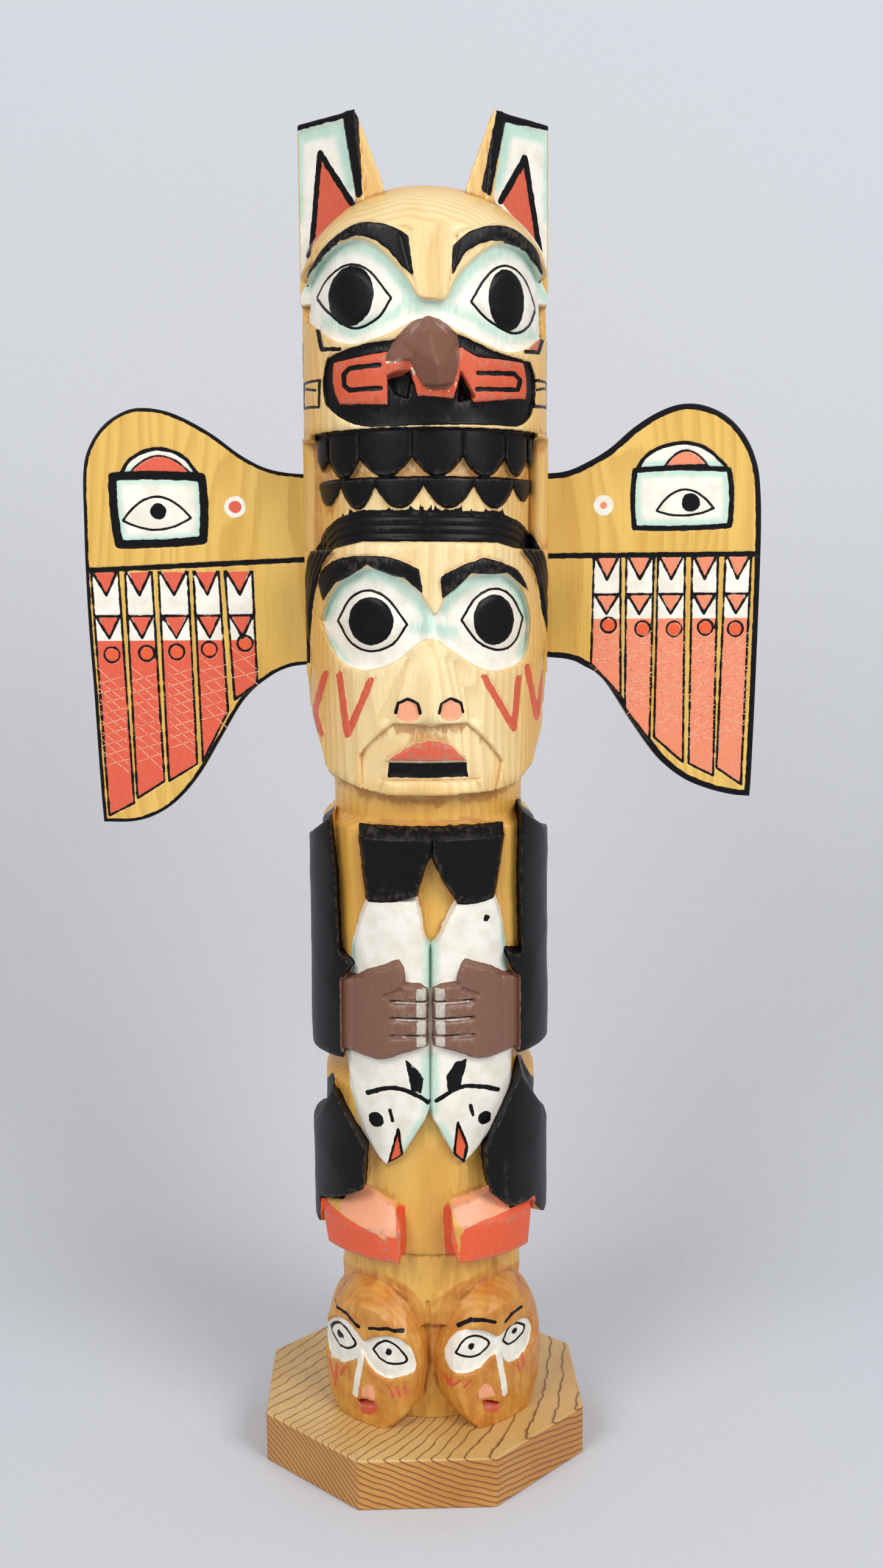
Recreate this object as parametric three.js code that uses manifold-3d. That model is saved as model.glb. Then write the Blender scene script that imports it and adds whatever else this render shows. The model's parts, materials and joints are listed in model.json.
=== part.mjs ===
// A carved and painted totem pole. One log carries an eagle's head, a human figure that holds two
// fish, and two little faces at its foot. It stands on an octagonal board, and two wings cut from
// thin board are let into its sides.
// Millimetres, +Z up, the front faces -Y. The origin is the centre of the board's underside.

import * as THREE from "three";
import { ConvexGeometry } from "three/addons/geometries/ConvexGeometry.js";
import { mergeVertices } from "three/addons/utils/BufferGeometryUtils.js";
import Module from "manifold-3d";

const wasm = await Module();
wasm.setup();

// Driving dimensions.
const BASE_WIDTH = 140;
const BASE_THICKNESS = 22;
const BASE_OFFSET = -4;
const LOG_RADIUS = 52.5;
const BACK_FLAT = 36;
const HEAD_CENTRE = 500;
const CROWN_RISE = 47;
const EAR_TOP = 574;
const EAGLE_CHIN = 444.5;
const HUMAN_CHIN = 298;
const FOOT_SOLES = 98;
const WING_FRONT = 4.5;
const WING_THICKNESS = 7;
const WING_ROOT = 46.5;
const WING_REACH = 147;
const CLEARANCE = 0.3;

// Depths of the relief: the distance of a carved surface from the axis of the log.
const BODY = 41;
const ANKLE = 40;
const FOOT = 36.5;
const CHEEK = 51.8;
const SOCKET = 48.2;
const LENS = 50.4;
const MOUTH = 50.2;
const CHEST = 44.6;
const LOWER_FEATHERS = 46.4;
const UPPER_FEATHERS = 48.4;
const FACE = 50.2;
const FACE_SOCKET = 46.8;
const FACE_LENS = 49;
const MUZZLE = 48;
const FISH = 46.8;
const HAND = 50.8;

// How finely round things are divided, how far a carving block reaches from the axis, and how far
// round the log an eye socket runs.
const LOG_SEGMENTS = 52;
const ARC_STEP = 6.5;
const REACH = 80;
const SOCKET_BACK = -13;

// ---- Solids ----

function solid(geometry) {
  const bare = geometry.clone();
  bare.deleteAttribute("normal");
  bare.deleteAttribute("uv");
  const merged = mergeVertices(bare, 1e-4);
  const vertProperties = new Float32Array(merged.attributes.position.array);
  const triVerts = new Uint32Array(merged.index.array);
  return new wasm.Manifold(new wasm.Mesh({ numProp: 3, vertProperties, triVerts }));
}

function geometryOf(manifold) {
  const { vertProperties, triVerts } = manifold.getMesh();
  const geometry = new THREE.BufferGeometry();
  geometry.setAttribute("position", new THREE.BufferAttribute(new Float32Array(vertProperties), 3));
  geometry.setIndex(new THREE.BufferAttribute(new Uint32Array(triVerts), 1));
  geometry.computeVertexNormals();
  return geometry;
}

const join = (first, ...others) => others.reduce((sum, other) => sum.add(other), first);
const cut = (first, ...others) => others.reduce((rest, other) => rest.subtract(other), first);

// A closed outline in (x, z). A corner's third number is the bow of the side that follows it: how
// far the middle of that side swells outward, or inward when the number is negative.
function outline(corners) {
  const straight = corners.map(([x, z]) => new THREE.Vector2(x, z));
  const turn = THREE.ShapeUtils.area(straight) > 0 ? -1 : 1;
  return corners.flatMap(([x, z, bow = 0], i) => {
    const [nextX, nextZ] = corners[(i + 1) % corners.length];
    const side = new THREE.Vector2(nextX - x, nextZ - z);
    const steps = bow === 0 ? 1 : THREE.MathUtils.clamp(Math.round(side.length() / ARC_STEP), 3, 12);
    const outward = new THREE.Vector2(-side.y, side.x).normalize().multiplyScalar(turn * bow);
    return Array.from({ length: steps }, (_, k) => {
      const t = k / steps;
      const swell = 4 * t * (1 - t);
      return new THREE.Vector2(x + side.x * t + outward.x * swell, z + side.y * t + outward.y * swell);
    });
  });
}

// The outline as a block that runs along Y from front to back.
function block(corners, front = -REACH, back = 0) {
  const shape = new THREE.Shape(outline(corners));
  const geometry = new THREE.ExtrudeGeometry(shape, { depth: back - front, bevelEnabled: false });
  return solid(geometry.rotateX(Math.PI / 2).translate(0, back, 0));
}

function box(x0, x1, y0, y1, z0, z1) {
  const geometry = new THREE.BoxGeometry(x1 - x0, y1 - y0, z1 - z0);
  return solid(geometry.translate((x0 + x1) / 2, (y0 + y1) / 2, (z0 + z1) / 2));
}

function post(radius, bottom, top, x = 0, y = 0) {
  const geometry = new THREE.CylinderGeometry(radius, radius, top - bottom, LOG_SEGMENTS);
  return solid(geometry.rotateX(Math.PI / 2).translate(x, y, (top + bottom) / 2));
}

function hull(points) {
  return solid(new ConvexGeometry(points.map(([x, y, z]) => new THREE.Vector3(x, y, z))));
}

// Relief that stands up to a radius, and a hollow that goes down to one.
const shells = new Map();
function shell(radius) {
  if (!shells.has(radius)) {
    shells.set(radius, post(radius, 0, EAR_TOP + 10));
  }
  return shells.get(radius);
}
const raised = (radius, corners, back = 0) => block(corners, -REACH, back).intersect(shell(radius));
const hollow = (radius, corners, back = 0) => block(corners, -REACH, back).subtract(shell(radius));

// A stretch of the log: round in front, straight at the sides and planed flat at the back.
function stretch(radius, bottom, top) {
  const core = join(post(radius, bottom, top), box(-radius, radius, 0, BACK_FLAT, bottom, top));
  const behind = box(-REACH, REACH, BACK_FLAT, REACH, bottom - 1, top + 1);
  return cut(core.intersect(shell(LOG_RADIUS)), behind);
}

// ---- The eagle's head ----

function skull() {
  const dome = new THREE.SphereGeometry(1, 40, 24);
  dome.rotateX(Math.PI / 2).scale(LOG_RADIUS + 2.5, LOG_RADIUS + 6.5, CROWN_RISE);
  const crown = solid(dome.translate(0, 0, HEAD_CENTRE)).intersect(stretch(CHEEK, HEAD_CENTRE, EAR_TOP));
  return join(stretch(CHEEK, EAGLE_CHIN, HEAD_CENTRE), crown);
}

// An ear stands on the edge of the log. Its face turns with the log and is hollowed inside a rim
// along the top and the inner side, and the wood flares out at the foot of its inner side.
function ear(side) {
  const front = (x) => -22 + (x - 28) * 0.86;
  const at = (x, depth, z) => [side * x, front(x) + depth, z];
  const blade = hull([
    at(24.5, 0, 540), at(28, 0, EAR_TOP), at(56, 0, 500), at(56, 0, EAR_TOP - 0.5), at(24.5, 0, 500),
    [side * 24.5, 16, 500], [side * 28, 4, EAR_TOP], [side * 56, 26, 500], [side * 56, 14, EAR_TOP - 0.5],
  ]);
  const flare = hull([
    at(27, 2, 571), at(16.5, 5, 542), at(30, 2, 571), at(16.5, 5, 505), at(30, 2, 505),
    [side * 16.5, 12, 542], [side * 30, 12, 571], [side * 16.5, 14, 505], [side * 30, 14, 505],
  ]);
  const recess = [[33, EAR_TOP - 3.5], [28.5, 540], [28.5, 505], [56, 505], [56, EAR_TOP - 3.5]];
  const face = hull([-9, 1.6].flatMap((depth) => recess.map(([x, z]) => at(x, depth, z))));
  return cut(join(blade, flare).intersect(shell(LOG_RADIUS)), face);
}

const EAGLE_SOCKETS = [
  [[-4, 495, 1.5], [-22, 516, 3.5], [-48, 509, 4], [-45, 487.5, 3], [-28, 478.5, 1], [-4, 486.5]],
  [[9, 495, 1.5], [24, 514, 3.5], [49, 507, 4], [46, 482.5, 3], [28, 476, 1], [9, 486]],
  [[-5, 487], [-5, 494], [10, 494.5], [10, 486.5]],
];
const EAGLE_LENSES = [
  [[-44, 500.5, 11.3], [-14, 495.5, 11.8]],
  [[17, 494.5, 13.5], [45, 496, 11.5]],
];
const EAGLE_BROWS = [
  [[-51, 511, 10.2], [-7, 518], [-5, 503.5, -12.2]],
  [[10, 515, 12.2], [50.5, 507.5, -12.6], [9, 502.5]],
];
const EAGLE_MOUTH = [
  [-40, 474.5], [-14, 479, 2], [14, 480.5, -1.5], [42, 473, 2], [43.5, 456, 2], [36, 446],
  [-23, 445.5, 2], [-41, 456, 1.5],
];
const EAGLE_LIPS = [
  [[-37.5, 472], [-16, 474.5], [-16, 454], [-35, 455.5, 1.5]],
  [[13, 475.5], [20, 472], [39, 472, 1], [40, 458], [18, 455]],
  [[-17, 472], [-17, 465], [-6, 467], [-4, 457.5], [10, 456.5], [13, 466], [19, 456], [14, 476]],
];
const MOUTH_HOLLOWS = [
  [[-16, 465, 1], [-6, 466.5], [-8, 456.5], [-13, 458.5]],
  [[13, 466.5], [18.5, 457], [12, 455.5]],
];

// The beak hooks forward and down from a ridge, and a flange spreads over its left side.
function beak() {
  const hook = hull([
    [0, -52, 488], [-12, -49, 480], [11, -49, 481], [-7, -51.5, 471], [12, -50, 470], [-2, -53, 461],
    [10, -51.5, 462], [2, -57.5, 478], [4, -60.5, 467], [5, -57.5, 460.2],
    [-12, -40, 480], [12, -40, 481], [-2, -40, 461], [10, -40, 462],
  ]);
  const flange = hull([
    [-12, -49, 480], [-16.5, -47.5, 472], [-16, -47.5, 470.5], [-7, -52.5, 471], [-3, -54, 478],
    [-16, -38, 472], [-7, -38, 471], [-12, -38, 480],
  ]);
  return join(hook, flange);
}

function eagleHead() {
  const bare = cut(
    skull(),
    ...EAGLE_SOCKETS.map((socket) => hollow(SOCKET, socket, SOCKET_BACK)),
    hollow(MOUTH, EAGLE_MOUTH),
  );
  const dressed = join(
    bare,
    ...EAGLE_LENSES.map((lens) => raised(LENS, lens)),
    ...EAGLE_BROWS.map((brow) => raised(LOG_RADIUS, brow)),
    ...EAGLE_LIPS.map((lip) => raised(CHEEK, lip)),
  );
  return join(cut(dressed, ...MOUTH_HOLLOWS.map((gap) => hollow(BODY, gap))), beak(), ear(-1), ear(1));
}

// ---- The breast feathers: two rows of scallops in a hollow under the beak ----

const BREAST_EDGES = { left: -46, right: 44, top: 443, bottom: 400 };
const FEATHER_ROWS = [
  {
    radius: LOWER_FEATHERS, top: 426.5, shoulder: 423.5, drop: 9,
    seams: [-46, -35.5, -21.5, -2, 18.5, 35.5, 44],
  },
  {
    radius: UPPER_FEATHERS, top: 443, shoulder: 434.5, drop: 8,
    seams: [-46, -40, -27.5, -6.5, 14, 31.5, 41, 44],
  },
];

function featherRow({ radius, top, shoulder, drop, seams }) {
  const tips = seams.slice(0, -1).map((left, i) => {
    const right = seams[i + 1];
    return [[left, top], [left, shoulder, drop], [right, shoulder], [right, top]];
  });
  return tips.map((tip) => raised(radius, tip));
}

function breast() {
  const { left, right, top, bottom } = BREAST_EDGES;
  const sides = stretch(LOG_RADIUS, HUMAN_CHIN, EAGLE_CHIN);
  const hole = hollow(CHEST, [[left, top], [right, top], [right, bottom], [left, bottom]]);
  return join(cut(sides, hole), ...FEATHER_ROWS.flatMap(featherRow));
}

// ---- The human head: hair, face and the narrowing jaw ----

const HAIR = [
  [-56, 340], [-56, 388], [-45, 405, 4], [-26, 413], [28, 413, 4], [45, 405], [56, 388], [56, 340],
];
const FACE_OPENING = [
  [-46.5, 370, 1], [-44, 391, 2.5], [-34, 400], [33, 400, 2.5], [44.5, 391, 1], [46.5, 370],
  [52, 340], [60, 300], [60, 290], [-60, 290], [-60, 300], [-52, 340],
];
const JAW = [
  [-60, 446], [-60, 346], [-51.5, 340, 1.5], [-43, 308, 1], [-27, 299.5, 1], [25, 298.5, 1], [40, 308, 1.5],
  [51.5, 340], [60, 346], [60, 446],
];
const FACE_SOCKETS = [
  [[1, 370, 1], [-20, 390, 2], [-38, 381, 3], [-41.5, 359, 2.5], [-26, 349.5, 2.5], [0, 362.5]],
  [[7, 378, 2], [26, 388.5, 2], [40, 378, 2.5], [40.5, 355, 2], [27, 348.5, 3], [4, 361]],
];
const FACE_LENSES = [
  [[-37.5, 369, 12], [-9, 367.5, 11]],
  [[13, 369, 12.5], [39.5, 369.5, 12]],
];
const FACE_BROWS = [
  [[-43.5, 377, 11], [-4, 389], [-2.5, 379.5, -10.5]],
  [[4, 386, 10.5], [41.5, 380, -8], [5, 377.5]],
];
const MUZZLE_HOLLOW = [
  [-28, 297], [-29, 314, 1], [-15, 327, 0.5], [0, 327, 0.5], [15, 327, 1], [30, 311], [27, 297],
];
const LIPS = [[-19, 305.5], [-17.5, 312.5, 2], [0, 320.5, 2], [14.5, 312, 0], [17, 305.5, 1]];
const MOUTH_SLIT = [[-17, 305.5], [-16.5, 311.5], [14, 311.5], [15, 305.5]];

function nose() {
  return hull([
    [0, -48, 372], [-3, -50, 362], [5, -50, 362], [1, -52.2, 350], [-14, -46, 330], [14, -46, 330],
    [-9, -51.5, 327.5], [9, -51.5, 327.5], [0, -52.5, 328], [-13, -47, 338], [13, -47, 338],
    [-8, -38, 366], [8, -38, 366], [-14, -38, 328], [14, -38, 328],
  ]);
}

function humanHead() {
  const hair = raised(LOG_RADIUS, HAIR, BACK_FLAT);
  const framed = cut(join(breast(), hair), hollow(FACE, FACE_OPENING));
  const shaped = framed.intersect(block(JAW, -REACH, REACH));
  const hollowed = cut(
    shaped,
    ...FACE_SOCKETS.map((socket) => hollow(FACE_SOCKET, socket, SOCKET_BACK)),
    hollow(MUZZLE, MUZZLE_HOLLOW),
  );
  const features = join(
    hollowed,
    ...FACE_LENSES.map((lens) => raised(FACE_LENS, lens)),
    ...FACE_BROWS.map((brow) => raised(FACE + 1, brow)),
    raised(FACE, LIPS),
    nose(),
  );
  return cut(features, hollow(MUZZLE - 0.6, MOUTH_SLIT));
}

// ---- The human body: arms, hands, the two fish, legs and feet ----

const ARMS = [
  [
    [-60, 274], [-52.5, 277], [-42, 288], [-38.5, 262], [-38, 228], [-33, 225], [-37, 218],
    [-37, 184], [-60, 182],
  ],
  [
    [60, 276], [52.5, 279], [38, 291], [37, 262], [38, 229], [32, 230], [36, 218], [36, 184],
    [60, 184],
  ],
];
const FISH_BODIES = [
  [
    [0, 235, -1], [-6, 254], [-26.5, 253, 1], [-35, 205, 2], [-33, 163, 1.5], [-26, 146, 0.5],
    [-19, 138, 1], [-1, 165],
  ],
  [
    [0, 235, -1], [10, 252], [26.5, 254, 1], [33.5, 205, 1.5], [33, 168, 2], [22, 149, 0.5],
    [13, 139, 0.5], [-1, 165],
  ],
];
const FISH_TAILS = [
  [[-29, 281], [-27, 262], [-26.5, 252.5], [-6, 255], [0, 273], [0, 281]],
  [[30, 281], [28, 262], [26.5, 253.5], [11, 252], [5, 262], [0, 273], [0, 281]],
];
const HANDS = [
  [
    [-38, 218.5], [-30, 220.5, 1], [-14, 228.5, 1], [-12, 219], [-5, 218.5], [-2.2, 217], [-2.2, 193],
    [-5, 192], [-15, 188, 1], [-38, 187],
  ],
  [
    [37, 219], [30, 221, 1], [14, 228.5, 1], [10, 219], [5, 218.5], [0.6, 217], [0.6, 193],
    [15, 188, 1], [37, 187],
  ],
];
const FINGERS = { count: 4, pitch: 7.25, lowest: 196.6, groove: 1.1, innerX: 2, outerX: 17, depth: 1.6 };
const LEGS = [
  [
    [-60, 149], [-52.5, 149], [-43, 171.5, 1], [-28, 147], [-29.5, 128], [-36, 121], [-47, 116],
    [-50, 103], [-60, 104],
  ],
  [
    [60, 148], [52, 148], [38, 177.5, 1], [21.5, 147], [24, 128], [32, 119], [44, 116],
    [50, 105], [60, 106],
  ],
];
const FEET = [
  { inner: -14, outer: -47.5, shin: -29.5, toe: 110.5 },
  { inner: 7.5, outer: 43, shin: 24, toe: 114 },
];

// The gaps between the fingers of both hands.
function fingerGrooves() {
  const { count, pitch, lowest, groove, innerX, outerX, depth } = FINGERS;
  const rows = Array.from({ length: count - 1 }, (_, i) => lowest + pitch * i);
  return rows.flatMap((z) => [-1, 1].map((side) => {
    const [from, to] = [side * innerX, side * outerX];
    return hollow(HAND - depth, [[from, z - groove, 0], [to, z, 0], [from, z + groove, 0]]);
  }));
}

// A foot's sole is level, and its upper side slopes from the shin down to the toes.
function foot({ inner, outer, shin, toe }) {
  const middle = (inner + outer) / 2;
  const points = [FOOT_SOLES, toe].flatMap((z) => [[inner, -50.5, z], [outer, -24, z], [middle, -54, z]]);
  const back = [
    [inner, -30, FOOT_SOLES], [outer, 0, FOOT_SOLES], [inner, -34, toe + 10], [outer, 0, toe + 6],
  ];
  const ankle = [[shin, -38, toe + 18], [outer, -8, toe + 14]];
  return hull([...points, ...back, ...ankle]).intersect(shell(LOG_RADIUS));
}

function body() {
  const trunk = stretch(BODY, FOOT_SOLES, HUMAN_CHIN + 8);
  const fish = FISH_BODIES.map((corners) => raised(FISH, corners));
  const tails = FISH_TAILS.map((corners) => raised(FISH + 1.2, corners));
  const limbs = [...ARMS, ...LEGS].map((corners) => raised(LOG_RADIUS, corners, 16));
  const hands = HANDS.map((corners) => raised(HAND, corners));
  const held = cut(join(trunk, ...fish, ...hands), ...fingerGrooves());
  return join(held, ...tails, ...limbs, ...FEET.map(foot));
}

// ---- The two little faces at the foot: rounded heads that look out to either side ----

const LITTLE_HEAD = { x: 22, y: -14, z: 46, halfWidth: 30, halfDepth: 40, halfHeight: 42 };
const LITTLE_EDGES = [
  [[-49, 20], [-49, 62, 2], [-39, 79, 2], [-24, 88, 3], [-1, 76], [-1, 36], [-10, 30], [-20, 20]],
  [[47, 20], [47, 62, 2], [38, 79, 2], [24, 89, 3], [-1, 78], [-1, 36], [9, 28], [18, 20]],
];
const LITTLE_SOCKETS = [
  [[-30.5, 58, 1], [-39, 64, 3], [-52, 50], [-52, 38, -1], [-32, 51]],
  [[-31.5, 58, 2.5], [-12, 60, 3], [-13, 46.5, 2.5], [-31.5, 52.5]],
  [[27.5, 60.5, 2], [11, 64, 3], [5, 50, 2.5], [20, 47, 1], [27.5, 53.5]],
  [[26.5, 61, 1], [34, 66, 2], [41.5, 55, 1.5], [35, 46], [26.5, 53]],
];
const LITTLE_LENSES = [
  [[-46, 49, 6], [-34, 53, 3]],
  [[-27, 54, 6], [-12, 53, 4]],
  [[9, 56, 6], [24, 57, 4]],
  [[30, 56, 5.5], [40.5, 55, 4]],
];
const LITTLE_MOUTHS = [
  [[-34, 28.5, 1], [-25, 32, 1], [-25, 27, 1], [-31, 23]],
  [[20, 33, 1], [27.5, 31, 1], [26, 25.5], [22, 28]],
];
const LITTLE_SURFACE = 50.4;

function littleHead(side) {
  const { x, y, z, halfWidth, halfDepth, halfHeight } = LITTLE_HEAD;
  const ball = new THREE.SphereGeometry(1, 32, 20);
  ball.rotateX(Math.PI / 2).scale(halfWidth, halfDepth, halfHeight).translate(side * x, y, z);
  const edges = LITTLE_EDGES[side < 0 ? 0 : 1];
  const room = box(-60, 60, -60, 30, BASE_THICKNESS, FOOT_SOLES);
  return solid(ball).intersect(raised(LITTLE_SURFACE, edges, 10)).intersect(room);
}

function littleNose(side) {
  const ridge = [[29.5, -40.5, 56], [31.5, -42.2, 45], [32.5, -41.8, 31]];
  const wings = [[24, -42, 31], [39, -31, 31], [26, -38, 31], [29, -38, 55], [27, -38, 44], [35, -31, 44]];
  const root = [[25, -33, 30], [37, -26, 30], [27, -32, 56], [31, -29, 56]];
  return hull([...ridge, ...wings, ...root].map(([x, y, z]) => [side * x, y, z]));
}

function littleFaces() {
  const neck = join(stretch(FOOT, BASE_THICKNESS, 70), stretch(ANKLE, 69, FOOT_SOLES));
  const heads = join(neck, littleHead(-1), littleHead(1));
  const hollowed = cut(
    heads,
    ...LITTLE_SOCKETS.map((socket) => hollow(LITTLE_SURFACE - 3, socket, -8)),
    ...LITTLE_MOUTHS.map((mouth) => hollow(LITTLE_SURFACE - 5, mouth, -8)),
  );
  const lenses = LITTLE_LENSES.map((lens) => raised(LITTLE_SURFACE - 1.4, lens, -20));
  return join(hollowed, ...lenses, littleNose(-1), littleNose(1));
}

// ---- The wings: flat boards with their drawing cut in as shallow grooves ----

const GROOVE_DEPTH = 0.8;
const WINGS = {
  wing_left: {
    edge: [
      [-WING_ROOT, 430.5, -3.8], [-85, 443, 3.4], [-122, 459, 8], [-WING_REACH, 425, 1], [-142.5, 281, 7.5],
      [-100, 301.5, 0.8], [-75, 339, -2.8], [-WING_ROOT, 350.5],
    ],
    frame: [[-133, 431, 0.6], [-97, 431, 0.8], [-94.5, 404, 0.6], [-132, 400.5, 1.2]],
    window: [[-130, 427.5, 0.4], [-99, 427, 0.6], [-98.5, 407, 0.4], [-128.5, 404, 1]],
    quillLine: [[-148, 391.6], [-52.8, 395.8], [-52.8, 393], [-148, 389]],
    seams: [[-131.2, -129.2, 289], [-117, -114.6, 298], [-101.8, -100, 305], [-88.2, -85.6, 331]],
    seamTop: 389,
  },
  wing_right: {
    edge: [
      [WING_ROOT, 430.5, -3.8], [85, 445.5, 3.2], [114, 460.3, 8], [WING_REACH, 425, 1], [143, 289, 2.8],
      [107, 302, 2.2], [80, 339, -4], [WING_ROOT, 352],
    ],
    frame: [[92, 433, 0.6], [130, 433.5, 1], [133.4, 408, 0.6], [91, 406.5, 0.8]],
    window: [[94, 430.5, 0.4], [128.5, 431, 0.8], [130.5, 409.5, 0.4], [93, 408.8, 0.6]],
    quillLine: [[148, 396], [52.8, 396.4], [52.8, 394.6], [148, 394.6]],
    seams: [[86, 86, 331], [100, 99.4, 313], [114.4, 114.4, 302], [128.6, 127.2, 298]],
    seamTop: 394.6,
  },
};

function wing({ edge, frame, window, quillLine, seams, seamTop }) {
  const front = WING_FRONT;
  const floor = WING_FRONT + GROOVE_DEPTH;
  const groove = (corners) => block(corners, front - 1, floor);
  const rows = seams.map(([top, foot, low]) => {
    return groove([[top - 1.1, seamTop], [top + 1.1, seamTop], [foot + 1.1, low], [foot - 1.1, low]]);
  });
  const ring = cut(groove(frame), block(window, front - 2, floor + 1));
  return cut(block(edge, front, front + WING_THICKNESS), ring, groove(quillLine), ...rows);
}

// The slots that the wings are let into, a little larger than the boards.
function wingSlots() {
  const top = 430.5 + CLEARANCE;
  const bottom = 349.5;
  const [front, back] = [WING_FRONT - CLEARANCE, WING_FRONT + WING_THICKNESS + CLEARANCE];
  const inner = WING_ROOT - CLEARANCE;
  return [box(-REACH, -inner, front, back, bottom, top), box(inner, REACH, front, back, bottom, top + 1)];
}

// ---- The whole piece ----

function octagonBoard() {
  const corner = BASE_WIDTH / 2 / Math.cos(Math.PI / 8);
  const board = new THREE.CylinderGeometry(corner, corner, BASE_THICKNESS, 8);
  board.rotateX(Math.PI / 2).rotateZ(Math.PI / 8);
  return solid(board.translate(BASE_OFFSET, 0, BASE_THICKNESS / 2));
}

const totemPole = new THREE.Group();

function addPiece(name, manifold, color, roughness) {
  const mesh = new THREE.Mesh(geometryOf(manifold), new THREE.MeshStandardMaterial({ color, roughness }));
  mesh.name = name;
  totemPole.add(mesh);
}

const log = join(littleFaces(), body(), humanHead(), eagleHead());
addPiece("pole", cut(log, ...wingSlots()), 0xd9a75c, 0.45);
Object.entries(WINGS).forEach(([name, plan]) => addPiece(name, wing(plan), 0xd8ab62, 0.45));
addPiece("base", octagonBoard(), 0xcfa36a, 0.55);

export default totemPole;
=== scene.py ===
import json
import math

import bmesh
import bpy
import numpy as np
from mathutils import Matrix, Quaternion, Vector

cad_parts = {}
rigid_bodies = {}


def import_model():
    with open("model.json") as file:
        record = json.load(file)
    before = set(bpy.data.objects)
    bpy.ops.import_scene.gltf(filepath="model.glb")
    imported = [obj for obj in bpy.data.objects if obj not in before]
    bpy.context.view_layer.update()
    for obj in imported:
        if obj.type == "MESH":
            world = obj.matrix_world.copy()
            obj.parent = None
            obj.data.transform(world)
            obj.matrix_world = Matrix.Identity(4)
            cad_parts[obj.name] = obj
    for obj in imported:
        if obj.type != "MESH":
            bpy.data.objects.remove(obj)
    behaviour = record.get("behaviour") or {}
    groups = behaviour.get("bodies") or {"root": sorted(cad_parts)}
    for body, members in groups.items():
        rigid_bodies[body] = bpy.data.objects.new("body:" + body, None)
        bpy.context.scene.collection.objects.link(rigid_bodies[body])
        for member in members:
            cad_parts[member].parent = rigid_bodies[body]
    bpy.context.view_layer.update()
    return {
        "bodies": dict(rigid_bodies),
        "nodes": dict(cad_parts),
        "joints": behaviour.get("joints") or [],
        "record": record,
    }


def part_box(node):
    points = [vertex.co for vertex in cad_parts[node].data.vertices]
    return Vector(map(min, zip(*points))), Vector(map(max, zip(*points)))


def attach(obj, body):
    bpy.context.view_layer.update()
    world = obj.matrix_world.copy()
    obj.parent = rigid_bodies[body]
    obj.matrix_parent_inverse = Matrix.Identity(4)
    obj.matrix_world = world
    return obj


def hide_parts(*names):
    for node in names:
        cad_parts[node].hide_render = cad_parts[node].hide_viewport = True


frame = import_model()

# ---- The log: its carving ------------------------------------------------------------------------
# One log of pale softwood, planed flat at the back and carved in the round in front: an eagle's
# head, breast feathers, a human figure with two fish, and two little faces. Knife and gouge leave
# steep walls round each painted shape. The surface is a grid of columns round the log and rows up
# it, and each carved shape moves the surface inside its outline to a depth. All of this is in
# millimetres, with depths as distances from the axis of the log, until the mesh is made.

MM = 0.001
pole_low, pole_high = [np.array(corner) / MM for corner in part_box("pole")]
LOG = pole_high[0]
BACK = pole_high[1]
FOOT_Z = pole_low[2]
EAR_TOP = pole_high[2]

BODY, ANKLE, FOOT = 41.0, 40.0, 36.5
CHEEK, SOCKET, LENS, MOUTH = 51.8, 48.2, 50.4, 50.2
CHEST, LOWER_FEATHERS, UPPER_FEATHERS = 44.6, 46.4, 48.4
FACE, FACE_SOCKET, FACE_LENS, MUZZLE = 50.2, 46.8, 49.0, 48.0
FISH, TAIL, HAND = 46.8, 48.0, 50.8
EAGLE_CHIN, SOLES = 444.5, 98.0
DOME_Z = 500.0
DOME = (LOG + 2.5, LOG + 6.5, 47.0)


def steps(start, stop, size):
    return np.linspace(start, stop, max(2, round(abs(stop - start) / size) + 1))


def smooth(t):
    t = np.clip(t, 0, 1)
    return t * t * (3 - 2 * t)


# Columns: close together in front, wider round the sides and over the flat back.
half = np.concatenate([steps(0, 82, 0.55), steps(82, 112, 1.3)[1:], steps(112, 180, 4.5)[1:-1]])
angle = np.radians(np.concatenate([-half[:0:-1], half, [180.0]]))
dome_angle = np.radians(steps(0, 90, 0.8))[1:-1]
rows_z = np.concatenate([steps(FOOT_Z, DOME_Z, 0.55), DOME_Z + DOME[2] * np.sin(dome_angle)])
dome_scale = np.concatenate([np.ones(len(rows_z) - len(dome_angle)), np.cos(dome_angle)])
side = np.sign(angle)
behind = np.abs(angle) > math.pi / 2
corner_angle = math.pi / 2 + math.asin(BACK / LOG)
over_back = np.clip((np.abs(angle) - corner_angle) / (math.pi - corner_angle), 0, 1)
outer_x = np.where(over_back > 0, side * math.sqrt(LOG**2 - BACK**2) * (1 - over_back), LOG * np.sin(angle))
outer_y = np.minimum(-LOG * np.cos(angle), BACK)

# Within this distance of the middle a carved wall runs straight back; beyond it, columns close up.
straight = np.interp(rows_z, [97, 100, 299, 303], [33, 39.5, 39.5, 43])[:, None]


def front_x(radius, rows=slice(None)):
    """Where the columns in front stand on a surface at this radius."""
    near, far = straight[rows], LOG * np.abs(np.sin(angle))[None, :]
    beyond = near + (far - near) * np.maximum(radius - near, 0.4) / (LOG - near)
    return side * np.where(far < near, far, beyond)


def across(radius, rows=slice(None)):
    """How far to the right each place on the grid stands. Past the log's widest line the count goes
    on toward the back, so that an outline can run round the side."""
    return np.where(behind, side * (radius + outer_y), front_x(radius, rows))


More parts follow.
